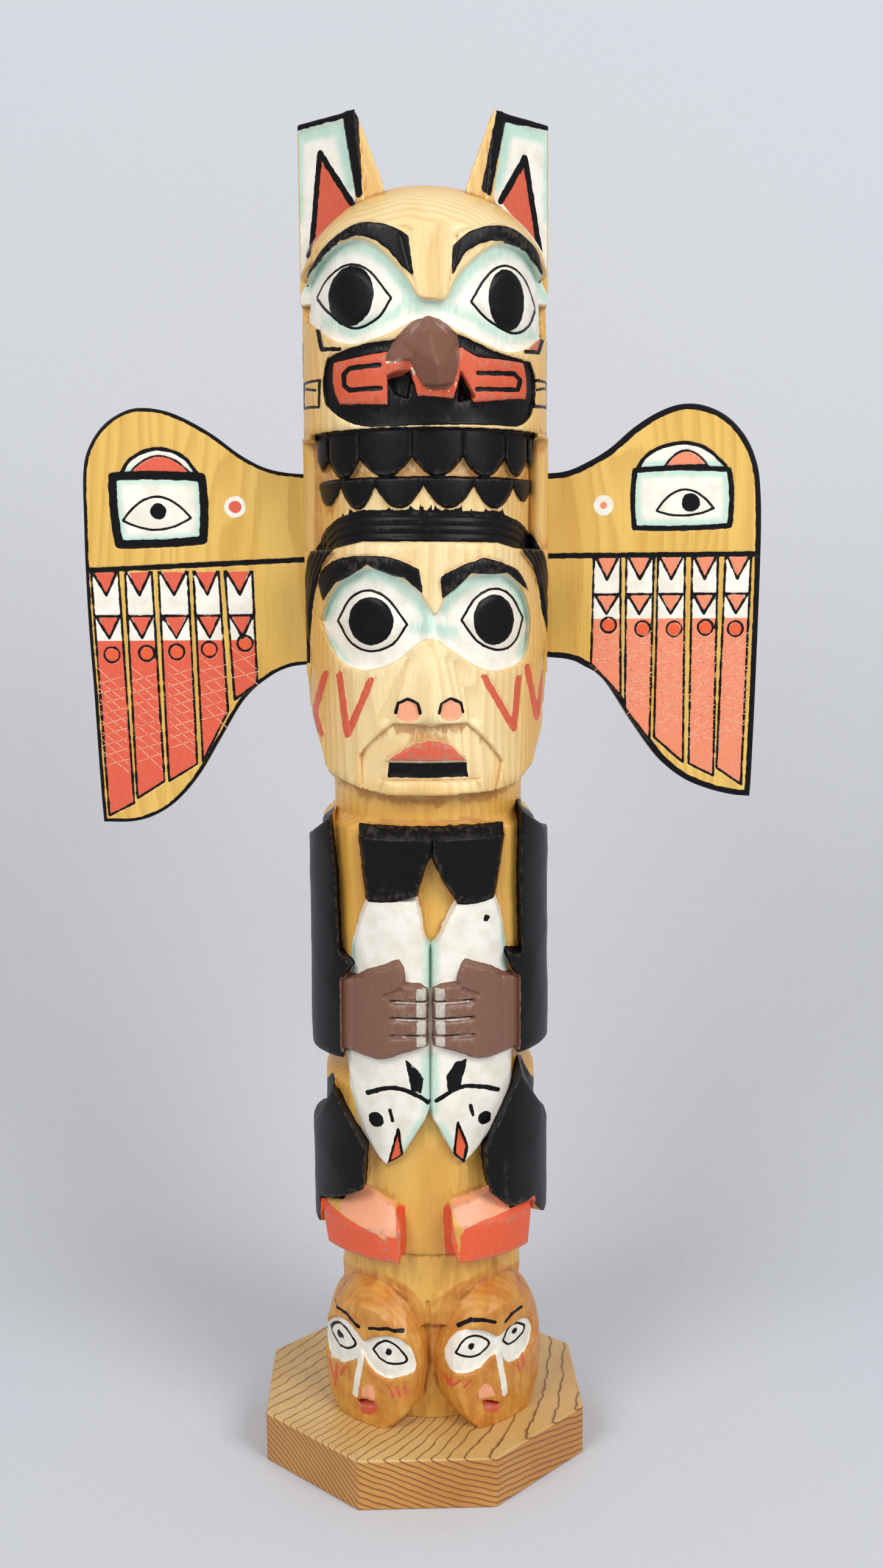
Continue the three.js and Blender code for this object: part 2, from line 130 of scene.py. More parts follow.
def outline(corners, step=1.6):
    """A closed outline in (x, z). A corner's third number is the bow of the side that follows it:
    how far its middle swells outward, or inward when it is negative."""
    xs, zs = np.array([c[0] for c in corners], float), np.array([c[1] for c in corners], float)
    turn = 1 if np.sum(xs * np.roll(zs, -1) - np.roll(xs, -1) * zs) <= 0 else -1
    points = []
    for i, corner in enumerate(corners):
        x, z, bow = (*corner, 0)[:3]
        dx, dz = np.roll(xs, -1)[i] - x, np.roll(zs, -1)[i] - z
        length = math.hypot(dx, dz)
        count = 1 if bow == 0 else max(4, round(length / step))
        for t in np.arange(count) / count:
            swell = turn * bow * 4 * t * (1 - t) / length
            points.append((x + dx * t - dz * swell, z + dz * t + dx * swell))
    return np.array(points)


def flowing(points, step=1.2):
    """A smooth line through a run of points."""
    before, after = 2 * np.array(points[0]) - points[1], 2 * np.array(points[-1]) - points[-2]
    points = np.array([before, *points, after], float)
    line = []
    for p0, p1, p2, p3 in zip(points, points[1:], points[2:], points[3:]):
        for t in np.arange(0, 1, 1 / max(2, round(np.hypot(*(p2 - p1)) / step))):
            line.append(0.5 * (2 * p1 + (p2 - p0) * t + (2 * p0 - 5 * p1 + 4 * p2 - p3) * t**2
                               + (3 * p1 - p0 - 3 * p2 + p3) * t**3))
    return np.array([*line, points[-2]])


def closed_runs(*runs):
    """A closed outline from smooth runs; a corner that two of them share comes once."""
    smooth_runs = [flowing(run).tolist() for run in runs]
    joined = []
    for run, following in zip(smooth_runs, smooth_runs[1:] + smooth_runs[:1]):
        joined += run[:-1] if np.allclose(run[-1], following[0]) else run
    return joined


def disc(x, z, width, height=None):
    turns = np.arange(24) * math.pi / 12
    return np.stack([x + np.cos(turns) * width / 2, z + np.sin(turns) * (height or width) / 2], axis=1)


def points_of(shape):
    return shape if isinstance(shape, np.ndarray) else outline(shape)


def distance_to(points, x, z, closed=False):
    """Distance in mm from each place to a line of points; inside a closed one it is positive and
    outside it negative."""
    nearest = np.full(np.broadcast(x, z).shape, np.inf)
    inside = np.zeros(nearest.shape, bool)
    ends = np.roll(points, -1, axis=0) if closed else points[1:]
    for (ax, az), (bx, bz) in zip(points, ends):
        ex, ez = bx - ax, bz - az
        t = np.clip(((x - ax) * ex + (z - az) * ez) / (ex * ex + ez * ez + 1e-9), 0, 1)
        nearest = np.minimum(nearest, (x - ax - t * ex) ** 2 + (z - az - t * ez) ** 2)
        inside ^= ((az > z) != (bz > z)) & (x < ex * (z - az) / (ez if ez else 1e-9) + ax)
    return np.where(inside, 1, -1) * np.sqrt(nearest) if closed else np.sqrt(nearest)


relief = np.full((len(rows_z), len(angle)), LOG)
proud = np.zeros(relief.shape)


def between(z0, z1):
    return (rows_z > z0) & (rows_z <= z1)


def window(points, radius, margin):
    """The part of the grid that a line of points covers, and the x and z of its places."""
    rows = np.flatnonzero((rows_z > points[:, 1].min() - margin) & (rows_z < points[:, 1].max() + margin))
    x = across(radius, rows)
    near = (x > points[:, 0].min() - margin) & (x < points[:, 0].max() + margin)
    cols = np.flatnonzero(near.any(axis=0))
    return np.ix_(rows, cols), x[:, cols], rows_z[rows][:, None]


def carve(shape, radius, wall=1.3, round_edge=0.0, form=None, limit=None):
    """Moves the surface inside an outline to a radius, or to the radii that form(x, z) gives. The
    step at its edge is `wall` wide, and the surface falls away over the last `round_edge`."""
    points = points_of(shape)
    part, x, z = window(points, radius, 3)
    inside = distance_to(points, x, z, closed=True)
    level = form(x, z) if form else radius
    if round_edge:
        level = level - 0.45 * round_edge * (1 - np.clip(inside / round_edge, 0, 1)) ** 2
    if limit:
        level = limit(level, relief[part])
    relief[part] += smooth(0.5 + inside / wall) * (level - relief[part])


def groove(points, width, depth, radius=LOG):
    """Cuts a V along an open line."""
    points = np.array(points, float)
    part, x, z = window(points, radius, width)
    relief[part] -= depth * np.clip(1 - 2 * distance_to(points, x, z) / width, 0, 1)


# What each paint covers: outlines, each with how far it laps over its edge, and open lines, each
# with half the width of the brush.
UNPAINTED = 400  # a place across that lies outside every painted shape
KINDS = ("black", "white", "red", "brown", "pale", "salmon", "stain", "teal", "lens", "stroke", "nail",
         "orange")
painted = {kind: [] for kind in KINDS}


def shapes(kind, outlines, lap=0.0):
    painted[kind] += [(points_of(shape), True, lap) for shape in outlines]
    return outlines


def line(kind, points, width):
    painted[kind].append((np.array(points, float), False, width / 2))


def stroke(points, width, depth=0.35, radius=LOG):
    """A black line drawn with the brush, in a shallow cut."""
    line("stroke", points, width)
    if depth:
        groove(points, width + 0.8, depth, radius)


# The trunk behind the figures, and the eagle's and the human's heads standing out from it.
relief[between(0, 66)] = FOOT
relief[between(66, SOLES)] = ANKLE
relief[between(SOLES, 300)] = BODY
relief[rows_z > EAGLE_CHIN] = CHEEK
# Between the arms and between the legs the trunk is flatter, and rises to meet them.
limbs = sum(smooth((rows_z - z0) / 6) * smooth((z1 - rows_z) / 6) for z0, z1 in ((182, 288), (118, 176)))
relief += 5.5 * limbs[:, None] * smooth((np.abs(across(BODY)) - 20) / 16)

# The eagle's head. Its white eye zone runs across the bridge of the beak in one piece.
EAGLE_EYES = flowing([
    (-52.5, 503), (-50, 508), (-44, 513.3), (-36, 517.4), (-28, 518.6), (-21, 515.7), (-13, 508.3),
    (-7, 500.4),
    (-3.4, 495), (2, 494), (7.3, 494.3), (11.3, 502), (17.8, 509.3), (25, 515), (32, 517.6), (40, 517.2),
    (46.7, 512.5), (52.2, 504.2), (53, 496), (50, 488.5), (46.7, 484), (40, 478), (32, 475.7), (23.4, 478),
    (13.6, 482.1), (5.6, 485.8), (-1.5, 486.9), (-7, 485.6), (-13.4, 482.5), (-21.4, 479.9), (-29.5, 478.7),
    (-37.7, 481.4), (-45.5, 488.8), (-50.5, 496.5), (-52.5, 503),
])
shapes("white", [EAGLE_EYES])
carve(EAGLE_EYES, SOCKET)
for lens in shapes("lens", [
    closed_runs([(-44.6, 500.1), (-39.5, 506.2), (-31.1, 509.8), (-22.7, 506.3), (-14.2, 495.4)],
                [(-14.2, 495.4), (-19.7, 487.9), (-29.4, 485), (-39.2, 492.5), (-44.6, 500.1)]),
    closed_runs([(17.3, 494.1), (24.3, 505), (32, 509.6), (39.8, 506.2), (45.6, 496)],
                [(45.6, 496), (41.5, 487.5), (34.4, 483.8), (24.3, 487.6), (17.3, 494.1)]),
]):
    carve(lens, LENS, round_edge=5)
shapes("black", [disc(-30.2, 497.5, 18.5, 23.5), disc(32, 496, 15.5, 24)])
for brow in shapes("black", [
    closed_runs([(-50.5, 506.5), (-47.6, 510.6), (-42.1, 516.4), (-36.2, 520.8), (-30.4, 523.8),
                 (-24.8, 524.6), (-17.7, 523.3), (-11.4, 520.7), (-7.2, 517.9)],
                [(-5.3, 503), (-9.2, 505.8), (-13.1, 510.6), (-18.6, 515.8), (-24.1, 518.6), (-28.1, 519.4),
                 (-34.6, 518.2), (-41.3, 514.2), (-47, 509)]),
    closed_runs([(9.6, 502.7), (9.7, 509.2), (10.5, 514.6), (15.3, 519), (21.8, 522.2), (29.2, 523.9),
                 (35.1, 523.7), (41.3, 520.9), (46.1, 516.9), (49.5, 508)],
                [(45.1, 511.4), (40.4, 515.6), (34.2, 517.4), (27.5, 517.4), (20.9, 515.6), (15.3, 512.2),
                 (12, 507)]),
]):
    carve(brow, LOG)
    part, x, z = window(points_of(brow), LOG, 3)
    proud[part] = np.maximum(proud[part], smooth(0.5 + distance_to(points_of(brow), x, z, closed=True) / 1.5))
for points, width in (
    ([(-48, 507), (-43, 511.5), (-36, 515.4), (-28, 516.6), (-21, 513.7), (-14, 507), (-8, 499),
      (-3, 492.5)], 4.5),
    ([(-40, 490), (-30, 483.5), (-20, 486.5), (-10, 491), (0, 492), (8, 491.5)], 4),
    ([(8.5, 496), (12.5, 501), (19, 508), (26, 513), (32, 515.3), (39.5, 515), (46, 510), (50.5, 503)], 4.5),
    ([(8, 491.5), (17, 489), (24, 484.5), (34, 481.5), (44, 485.5)], 4),
):
    line("teal", points, width)
EAGLE_MOUTH = [
    (-40, 474.5, 1), (-14, 479, 2), (14, 480.5, -1.5), (42, 473, 2), (43.5, 456, 2), (36, 446.5),
    (-23, 445.5, 2), (-41, 456, 1.5),
]
for mouth in shapes("black", [EAGLE_MOUTH]):
    carve(mouth, MOUTH)
for lip in shapes("red", [
    [(-37.5, 472), (-16, 474.5), (-16, 454), (-35, 455.5, 1.5)],
    [(13, 476), (20, 472.5), (39, 472, 1), (40, 458), (18, 455)],
    [(-17, 471), (-17, 464), (-7, 467), (-4, 457.3), (10, 456.3), (13, 466), (19, 456), (14, 476)],
]):
    carve(lip, CHEEK, wall=1)
for gap in shapes("black", [
    [(-16, 465, 1), (-6, 466.5), (-8, 456.5), (-13, 458.5)],
    [(13, 466.5), (18.5, 457), (12, 455.5)],
]):
    carve(gap, 45)
stroke([(-19, 469.5), (-31, 469), (-33.3, 467), (-33.3, 462.5), (-31, 460.5), (-18.5, 460.5)], 1.9)
stroke([(20, 466.3), (35, 467.2), (37.6, 465), (36.5, 461), (19.5, 460)], 1.9)
for x0, turn, cheek in (
    (-47.5, -1, [(4.4, 484), (4.6, 477.3), (9.5, 476.6)]),
    (47.5, 1, [(1.5, 486), (-1.2, 478), (-6.5, 477.5)]),
):
    box = [(x0 - 4 * turn, 466), (x0 + 4 * turn, 467), (x0 + 4 * turn, 457), (x0 - 3.5 * turn, 455.5)]
    stroke([*box, box[0]], 1.2, 0.3)
    stroke([(x0 - 2 * turn, 462.5), (x0 + 3 * turn, 464.5)], 1.1, 0.3)
    shapes("red", [[(x0 + x * turn, z) for x, z in cheek]])
    stroke([(x0 + 4 * turn, 484), (x0 + 4 * turn, 470)], 0.9, 0.3)
stroke([(-44, 486.5), (-42.3, 478), (-35, 477)], 1.7)
stroke([(50, 487.5), (46, 477.6), (40, 476.6)], 1.7)
groove([(-10, 518), (-6.5, 505), (-4.5, 497)], 2, 0.7)
groove([(12, 518), (9.5, 505), (8.5, 497)], 2, 0.7)
groove([(-51, 514), (-40, 524), (-28, 527.5), (-15, 524), (-6, 520)], 2.2, 0.6)
groove([(11, 518), (20, 524), (32, 527), (43, 522), (51, 511)], 2.2, 0.6)

# The ears are painted on their hollowed faces, and the beak all over.
for turn, face_foot, band, ear_red, brush in (
    (-1, [(-32.5, 571.5), (-27.8, 538)],
     [(-53, 576), (-53, 570.8), (-32.9, 570.8), (-27.9, 538.6), (-25.2, 539.2), (-26.8, 576)],
     [(-42.8, 560), (-47.6, 517), (-43, 524), (-36, 531), (-29.4, 537)], 2.4),
    (1, [(33, 571.5), (27.5, 538)],
     [(53, 576), (53, 571), (33.2, 569.8), (26.4, 538.6), (22.8, 542), (29.8, 576)],
     [(41.8, 558), (31, 538.6), (38, 532), (44, 526), (48.6, 521)], 2.6),
):
    sides = [[(turn * x, z) for x, z in run] for run in (
        [(53, 510), (52.6, 571.5)], [(31, 536.6), (38, 530), (45, 522), (50, 513)],
    )]
    shapes("white", [[*sides[0], *face_foot, *sides[1]]])
    shapes("black", [band])
    shapes("red", [ear_red])
    line("stroke", [ear_red[1], ear_red[0], ear_red[-1]], brush)
    line("stroke", [(turn * 52.6, 512), (turn * 52.6, 569)], 1.1)
    line("teal", [(turn * 52, 568), (turn * 34, 568), (turn * 29.5, 545)], 5)
    line("teal", [(turn * 51.5, 568), (turn * 51.8, 535)], 3)
shapes("brown", [[(0, 488.2), (-5, 486.5), (-12, 480.5), (-17, 472.2), (-16.4, 470), (-7, 470.6), (-5, 466),
                  (-2.2, 461), (1, 459.2), (8.5, 459.4), (10.5, 463), (12.6, 470), (11.8, 481), (5, 487)]])
# A pale line along the lower edge of the beak: bare wood at its rim, brightened as a painted highlight along
# the edge.
line("pale", [(-16.5, 470.2), (-7.4, 470), (-5.4, 465.6), (-2.6, 460.8), (1, 458.8), (8.6, 458.8),
              (10.8, 462)], 0.9)

# The breast feathers: two rows of scallops in a hollow under the beak.
carve([(-46, 443), (44, 443), (44, 398), (-46, 398)], CHEST)
for radius, top, shoulder, drop, seams in (
    (LOWER_FEATHERS, 426.3, 423.5, 9.5, (-46, -35.5, -21.5, -2, 18.5, 35.5, 44)),
    (UPPER_FEATHERS, 445, 434.5, 8, (-46, -40.5, -27.5, -6.5, 14, 31.5, 41.5, 44.5)),
):
    for left, right in zip(seams[:-1], seams[1:]):
        tip = min(drop, (right - left) * 0.7)
        feather = [(left, top), (left, shoulder, tip), (right, shoulder), (right, top)]
        for scallop in shapes("black", [feather], lap=0.3):
            carve(scallop, radius, wall=0.9, round_edge=1.5)

# The human head: a band of hair over the brow and down both sides, and the face inside it.
HAIR_OUTER = [(-56, 350), (-54, 378), (-50.5, 394), (-45, 404.5), (-37, 411), (-27, 413.6),
              (28, 412.6), (38, 409.5), (45.5, 403), (50.5, 393), (54, 378), (56, 362)]
HAIR_INNER = [(-51.5, 350), (-48.5, 374), (-46, 385), (-43, 393), (-38, 398.5), (-27, 400.8),
              (28, 400.2), (38, 397.5), (43.5, 391), (46.5, 382), (48.5, 372), (51.5, 362)]
inner_arc = np.array(HAIR_INNER, float)
outer_arc = np.array(HAIR_OUTER, float)
JAW = [(345, -51.8, 51.8), (332, -51, 51), (325, -48.5, 49.5), (316, -45.5, 46), (308, -43.5, 43.5)]
carve(np.array([(-52.4, 340), *HAIR_INNER[1:-1], (52.4, 340), (60, 295), (-60, 295)], float), FACE)
shapes("black", [np.concatenate([outer_arc, inner_arc[::-1]])])
for share in (0.22, 0.48, 0.74):
    groove(outer_arc + share * (inner_arc - outer_arc), 1.6, 0.5)
HUMAN_EYES = flowing([
    (-44, 369), (-41.5, 377), (-36, 384.5), (-28, 389.5), (-20, 390), (-12, 386.3), (-5, 381), (0.5, 373),
    (3, 371.5),
    (8, 380), (15, 385.5), (25, 388.2), (33, 386.2), (39, 380), (42, 371), (42, 362), (40, 354), (35, 350),
    (27, 348.4), (20, 350), (12, 355), (5, 360), (2, 361.8), (-2, 361.6), (-5, 360), (-12, 354), (-20, 350),
    (-29, 349.4), (-36, 352.5), (-41, 360), (-44, 369),
])
shapes("white", [HUMAN_EYES])
carve(HUMAN_EYES, FACE_SOCKET, wall=1.8)
for lens in shapes("lens", [
    closed_runs([(-37.5, 369), (-32, 378), (-25, 381.2), (-17, 378), (-9, 367.5)],
                [(-9, 367.5), (-15, 359.5), (-24, 356.6), (-32, 360), (-37.5, 369)]),
    closed_runs([(13, 369), (19, 378), (27, 381.6), (34, 378.5), (39.5, 369.5)],
                [(39.5, 369.5), (36, 360), (29, 356.6), (20, 360), (13, 369)]),
]):
    carve(lens, FACE_LENS, round_edge=5)
for points, width in (
    ([(-42, 371), (-38.5, 379), (-33, 385), (-27, 387.5), (-20, 388), (-13, 384.5), (-6, 378.5),
      (0, 370)], 4.2),
    ([(6, 374), (10, 379.5), (16, 383.6), (25, 386.2), (33, 384.2), (38, 378.5), (40.5, 370)], 4.2),
    ([(-6, 366), (2, 366), (10, 363.5)], 4.5), ([(-40.5, 360), (-34, 353)], 2.4),
    ([(40, 362), (38, 354)], 2.4),
):
    line("teal", points, width)
shapes("black", [disc(-23.7, 368.8, 18.5, 19.5), disc(26.5, 369, 17.5, 20.5)])
for brow in shapes("black", [
    [(-43.5, 377, 6), (-35, 394.5, 0.8), (-15, 394.2, 0.3), (-4, 389.5), (-2.5, 379.5), (-10, 386, 0.6),
     (-25, 391.5, 0.6), (-38, 384.5)],
    [(4.5, 386.5, 0.6), (22, 394, 0.6), (36, 389.5, 0.8), (41.5, 380.5), (32, 388, 0.6), (17, 388, 0.6),
     (5, 377.5)],
]):
    carve(brow, FACE + 1.2)
carve([(-28, 297), (-29, 314, 1), (-15, 327.5, 0.5), (0, 326.5, 0.5), (15, 327.5, 1), (30, 311),
       (27, 297)], MUZZLE)


def ridge(stations, power=1.7):
    """A rib that stands out along its own line. Each station gives its place, how wide it is to
    either side, how far out it stands and how far its edges fall back from that."""
    xs, zs, widths, tops, falls = np.array(stations, float).T
    rows = np.flatnonzero((rows_z > zs.min()) & (rows_z < zs.max()))
    order = np.argsort(zs)
    given = (xs, widths, tops, falls)
    x0, wide, top, fall = [np.interp(rows_z[rows], zs[order], v[order])[:, None] for v in given]
    away = np.abs(across(LOG, rows) - x0) / wide
    level = np.where(away < 1, top - fall * np.clip(away, 0, 1) ** power, 0)
    relief[rows] = np.maximum(relief[rows], level)


groove([(-9, 353), (-14.5, 340), (-17.5, 330)], 9, 1.5)
groove([(10, 352), (14.5, 340), (17.5, 330)], 9, 1.5)
ridge([(1, 374, 3, 48.2, 1.4), (1, 362, 5, 50.4, 3.4), (1, 350, 9, 52, 3.6), (0, 338, 13.5, 52.4, 3),
       (0, 327.5, 15.5, 52.4, 3.2)])
for nostril in shapes("salmon", [disc(-9, 332.6, 9.4, 9), disc(8.5, 332.8, 9.4, 9)]):
    carve(nostril, 50.3, wall=1)
for x in (-9, 8.5):
    stroke([(x - 4.9, 332), (x - 4, 335.8), (x, 337.8), (x + 4, 335.8), (x + 4.9, 332)], 1.2, 0.2)
for lip in shapes("red", [[(-18, 312.3), (-8, 318.7), (0, 320.6), (8, 318.7), (15, 312)]]):
    carve(lip, FACE, wall=1)
for slit in shapes("black", [[(-17.5, 305.2), (-17, 311.4), (14.5, 311.4), (15.5, 305.2)]]):
    carve(slit, MUZZLE - 0.6, wall=0.9)
shapes("pale", [[(-17, 312.4), (-17, 311.5), (14.5, 311.4), (14.5, 312.2)]])
groove([(-20, 304.3), (20, 304.3)], 1.8, 0.7)
carve([(-19, 303.8), (19, 303.8), (22, 296), (-22, 296)], FACE - 0.6)
for marks in (
    [(-37, 347), (-34, 322), (-24, 345)], [(-43, 347), (-48.6, 330), (-45.5, 321)],
    [(22, 346), (35, 324), (37, 345)], [(41, 349), (46, 327), (49.5, 345)],
):
    line("red", marks, 2.9)
    groove(np.array(marks, float) + (1.9, 1.2), 1.8, 0.55)

CHIN = [(-43.5, 308), (-41, 305), (-35, 302.5), (-27, 299.5), (-15, 297.6), (25, 298.4), (35, 301),
        (38, 302.5),
        (43.5, 308)]
under_chin = np.interp(across(FACE), *np.array(CHIN, float).T, left=308, right=308)
relief[...] = np.where((rows_z[:, None] < under_chin) & (rows_z[:, None] > 293), BODY, relief)

# The human body: arms, the two fish held against it, the hands that hold them, legs and feet.
for fish in shapes("white", lap=0.5, outlines=[
    [(-1, 235, -1), (-4, 245), (-6, 254), (-26.5, 253, 0.6), (-33, 232), (-33.5, 220, 0.5), (-36, 190, 1),
     (-33, 165, 1), (-26, 146, 0.6), (-20, 138), (-13, 143), (-3, 160), (-1.2, 165)],
    [(0, 235, -1), (5, 243), (10, 252), (26.5, 254, 0.6), (30.5, 238), (32, 225, 0.4), (34.5, 188, 1),
     (32, 163, 0.8), (22, 149, 0.5), (15, 141), (13, 139), (9, 143), (-0.3, 161), (-0.9, 166)],
]):
    carve(fish, FISH, round_edge=1.2, form=lambda x, z: FISH - 0.1 * np.clip(160 - z, 0, 40) + 0 * x)
for tail in shapes("black", lap=0.6, outlines=[
    [(-29.5, 279.5), (-28.5, 270), (-26.8, 253, 0.8), (-6, 255.5), (-2.5, 268), (0, 273), (0.3, 279.5)],
    [(30.5, 279.5), (29, 268), (26.6, 254, 0.8), (11, 252.5), (5, 262), (0, 273), (0.3, 279.5)],
]):
    carve(tail, TAIL, round_edge=0.8)
for face in shapes("black", [[(-29.8, 284.6), (-29.8, 279), (30.8, 279), (30.8, 284.6)]]):
    carve(face, TAIL, form=lambda x, z: TAIL - 0.9 * (z - 279.5) + 0 * x)
for arm in shapes("black", lap=0.9, outlines=[
    [(-70, 270), (-52.5, 277), (-50, 280.5), (-42, 288), (-39.5, 262), (-38.5, 230), (-33, 225.5),
     (-36.5, 220),
     (-37, 184), (-50, 183), (-70, 180)],
    [(70, 276), (52.5, 279), (50, 281), (38, 291), (37.2, 262), (38, 229), (31.5, 230.5), (35.5, 220),
     (36, 185),
     (50, 185), (70, 182)],
]):
    carve(arm, LOG, round_edge=1.6)
for hand in shapes("brown", lap=0.7, outlines=[
    [(-38, 218.5), (-30, 220.5, 0.6), (-20, 225.5), (-13.8, 228.5, 1), (-12, 219), (-5, 218.5), (-2.2, 217),
     (-2.2, 193), (-5, 192), (-15, 188.5, 1), (-25, 186), (-38, 188)],
    [(37, 219), (29, 221, 0.6), (20, 226), (14, 228.5, 1), (11, 219), (4, 218.5), (0.6, 217), (0.6, 193),
     (4, 192),
     (14, 188.5, 1), (25, 186), (37, 188)],
]):
    carve(hand, HAND, round_edge=2.2)
for x0, x1 in ((-17, -2), (17, 0.6)):
    for z in (196.7, 204.1, 211.4):
        groove([(x0, z), ((x0 + x1) / 2, z + 0.3), (x1, z)], 2.6, 1.7)
        stroke([(x0, z + 0.8), (x1, z + 0.8)], 0.7, 0)
        line("nail", [(x0 * 0.9, z), (x1, z - 0.2)], 0.5)
groove([(-20, 213.5), (-13, 217)], 2.2, 1.3)
groove([(19, 214), (12.5, 217)], 2.2, 1.3)
groove([(-32.5, 219), (-33, 188)], 2.4, 0.6)
groove([(29.5, 220), (30, 188)], 2.4, 0.6)
NAILS = [(193, 197), (198.4, 203.4), (205.5, 210.7), (212.6, 217.6)]
for x, knuckle in ((-4.6, -6.4), (3.2, 5)):
    for z0, z1 in NAILS:
        shapes("nail", [[(x - 2, z0), (x - 2, z1), (x + 2, z1), (x + 2, z0)]])
        groove([(knuckle, z0), (knuckle, z1)], 1.1, 0.5)
for leg in shapes("black", lap=0.9, outlines=[
    [(-70, 149), (-52.5, 149), (-49, 157), (-43, 170.5), (-28, 146.5), (-29.3, 128), (-36, 121.3),
     (-40, 119.3),
     (-47, 116.5), (-50, 103), (-70, 104)],
    [(70, 148), (51.8, 148), (49, 158), (44, 167), (38, 177.5), (21.3, 146), (22, 135), (24, 127.5),
     (32, 118.6),
     (44, 116), (50, 106), (70, 106)],
]):
    carve(leg, LOG, round_edge=1.6)
for foot, toe, slope in (
    ([(-30, 128), (-24, 125), (-16, 121.5), (-13.5, 113), (-14, SOLES), (-46.5, SOLES), (-48.6, 108),
      (-49, 116)], 112, 0.55),
    ([(7, 122), (24, 126), (32.5, 119), (43.5, 117), (43.7, 112), (42, SOLES), (10, SOLES), (6.6, 108)],
     115, 0.6),
):
    def instep(x, z):
        return LOG - 0.3 - slope * np.clip(z - toe + 0.035 * np.abs(x), 0, 40)
    carve(foot, LOG, wall=1.4, round_edge=1.5, form=instep)
shapes("salmon", [
    [(-30, 128.5), (-24, 125), (-16, 121.5), (-15, 110), (-25, 110.7), (-40, 114), (-40, 118)],
    [(7, 122.5), (24, 126.5), (33, 119), (32.5, 117), (20, 115.7), (12, 113)],
])
shapes("orange", [
    [(-15.4, 109.8), (-25, 110.7), (-49, 115.5), (-49.5, 97), (-15.4, 97)],
    [(11.5, 113.2), (20, 115.7), (32.5, 117), (45, 119), (45, 97), (10.4, 97)],
])
shapes("orange", [[(-16, 120), (-12, 120), (-12, 97), (-16, 97), (-16, 110)],
                  [(7.5, 121), (4, 120), (5, 97), (11, 97)]])
stroke(flowing([(-27.4, 169.6), (-20, 172.8), (-13, 173.2), (-6, 170.6), (-2, 168)]), 2.0)
stroke(flowing([(1.6, 168.6), (8, 172.4), (14, 174), (22, 172.6), (28, 170)]), 1.9)
for leaf in ([(-11, 185.5), (-6, 181), (-4.2, 178), (-5.2, 172), (-8.7, 173)],
             [(14, 185.4), (13.2, 181), (10.7, 173), (6.6, 173), (6.2, 179), (10, 184.6)]):
    shapes("black", [leaf])
    stroke([*leaf, leaf[0]], 0.8)
stroke([(-18, 163.5), (-17, 159)], 1.6)
stroke([(16, 165.5), (17, 161)], 1.6)
for slot in ([(-14.7, 155.5), (-18.6, 139.8), (-13, 143.5)],
             [(10.5, 158.5), (9, 144), (13, 140.5), (14.5, 147)]):
    carve(slot, 44.4, wall=1.2)
    shapes("orange", [slot])
    stroke([*slot, slot[0]], 1.2, 0)
shapes("black", [disc(-24, 158.5, 6.8), disc(22, 159, 6.2), disc(23, 245, 3.2)])
for points, width in (
    ([(0, 236), (-0.6, 219)], 6), ([(-0.9, 186), (-1, 165)], 7), ([(-4, 160), (-13, 144)], 4),
    ([(3, 157), (9, 146)], 4), ([(-33, 232), (-33.5, 220)], 3), ([(31, 240), (31.5, 224)], 3),
):
    line("teal", points, width)

# The two little faces at the foot of the log: rounded heads that look out to either side.
HEAD_CENTRE = (22, -14, 46)
HEAD_SIZE = (26.5, 40, 42)
LITTLE = 50.4
foot_rows = np.flatnonzero(rows_z < 98)


def little_head(turn, edges):
    xc, yc, zc = turn * HEAD_CENTRE[0], HEAD_CENTRE[1], HEAD_CENTRE[2]
    a, b, c = HEAD_SIZE
    room = np.clip(1 - ((rows_z[foot_rows] - zc) / c) ** 2, 0, None)[:, None]
    level = np.full((len(foot_rows), len(angle)), 46.0)
    for _ in range(4):
        x = np.where(behind, side * level, front_x(level, foot_rows))
        y = np.where(behind, outer_y, -np.sqrt(np.clip(level**2 - x**2, 1, None)))
        away = np.hypot(x, y)
        ux, uy = x / away, y / away
        # Where the ray from the axis through this place leaves the rounded head.
        p = (ux / a) ** 2 + (uy / b) ** 2
        q = ux * xc / a**2 + uy * yc / b**2
        inner = q**2 - p * ((xc / a) ** 2 + (yc / b) ** 2 - room)
        level = np.where(inner > 0, (q + np.sqrt(np.clip(inner, 0, None))) / p, 30)
    level = np.clip(level, 30, LITTLE)
    inside = distance_to(edges, across(LITTLE, foot_rows), rows_z[foot_rows][:, None], closed=True)
    level = np.where(behind & (outer_y > 12), 0, level)
    rounded = level - 2.5 * (1 - smooth(inside / 2.5))
    relief[foot_rows] = np.maximum(relief[foot_rows], np.where(inside > 0, rounded, 0))


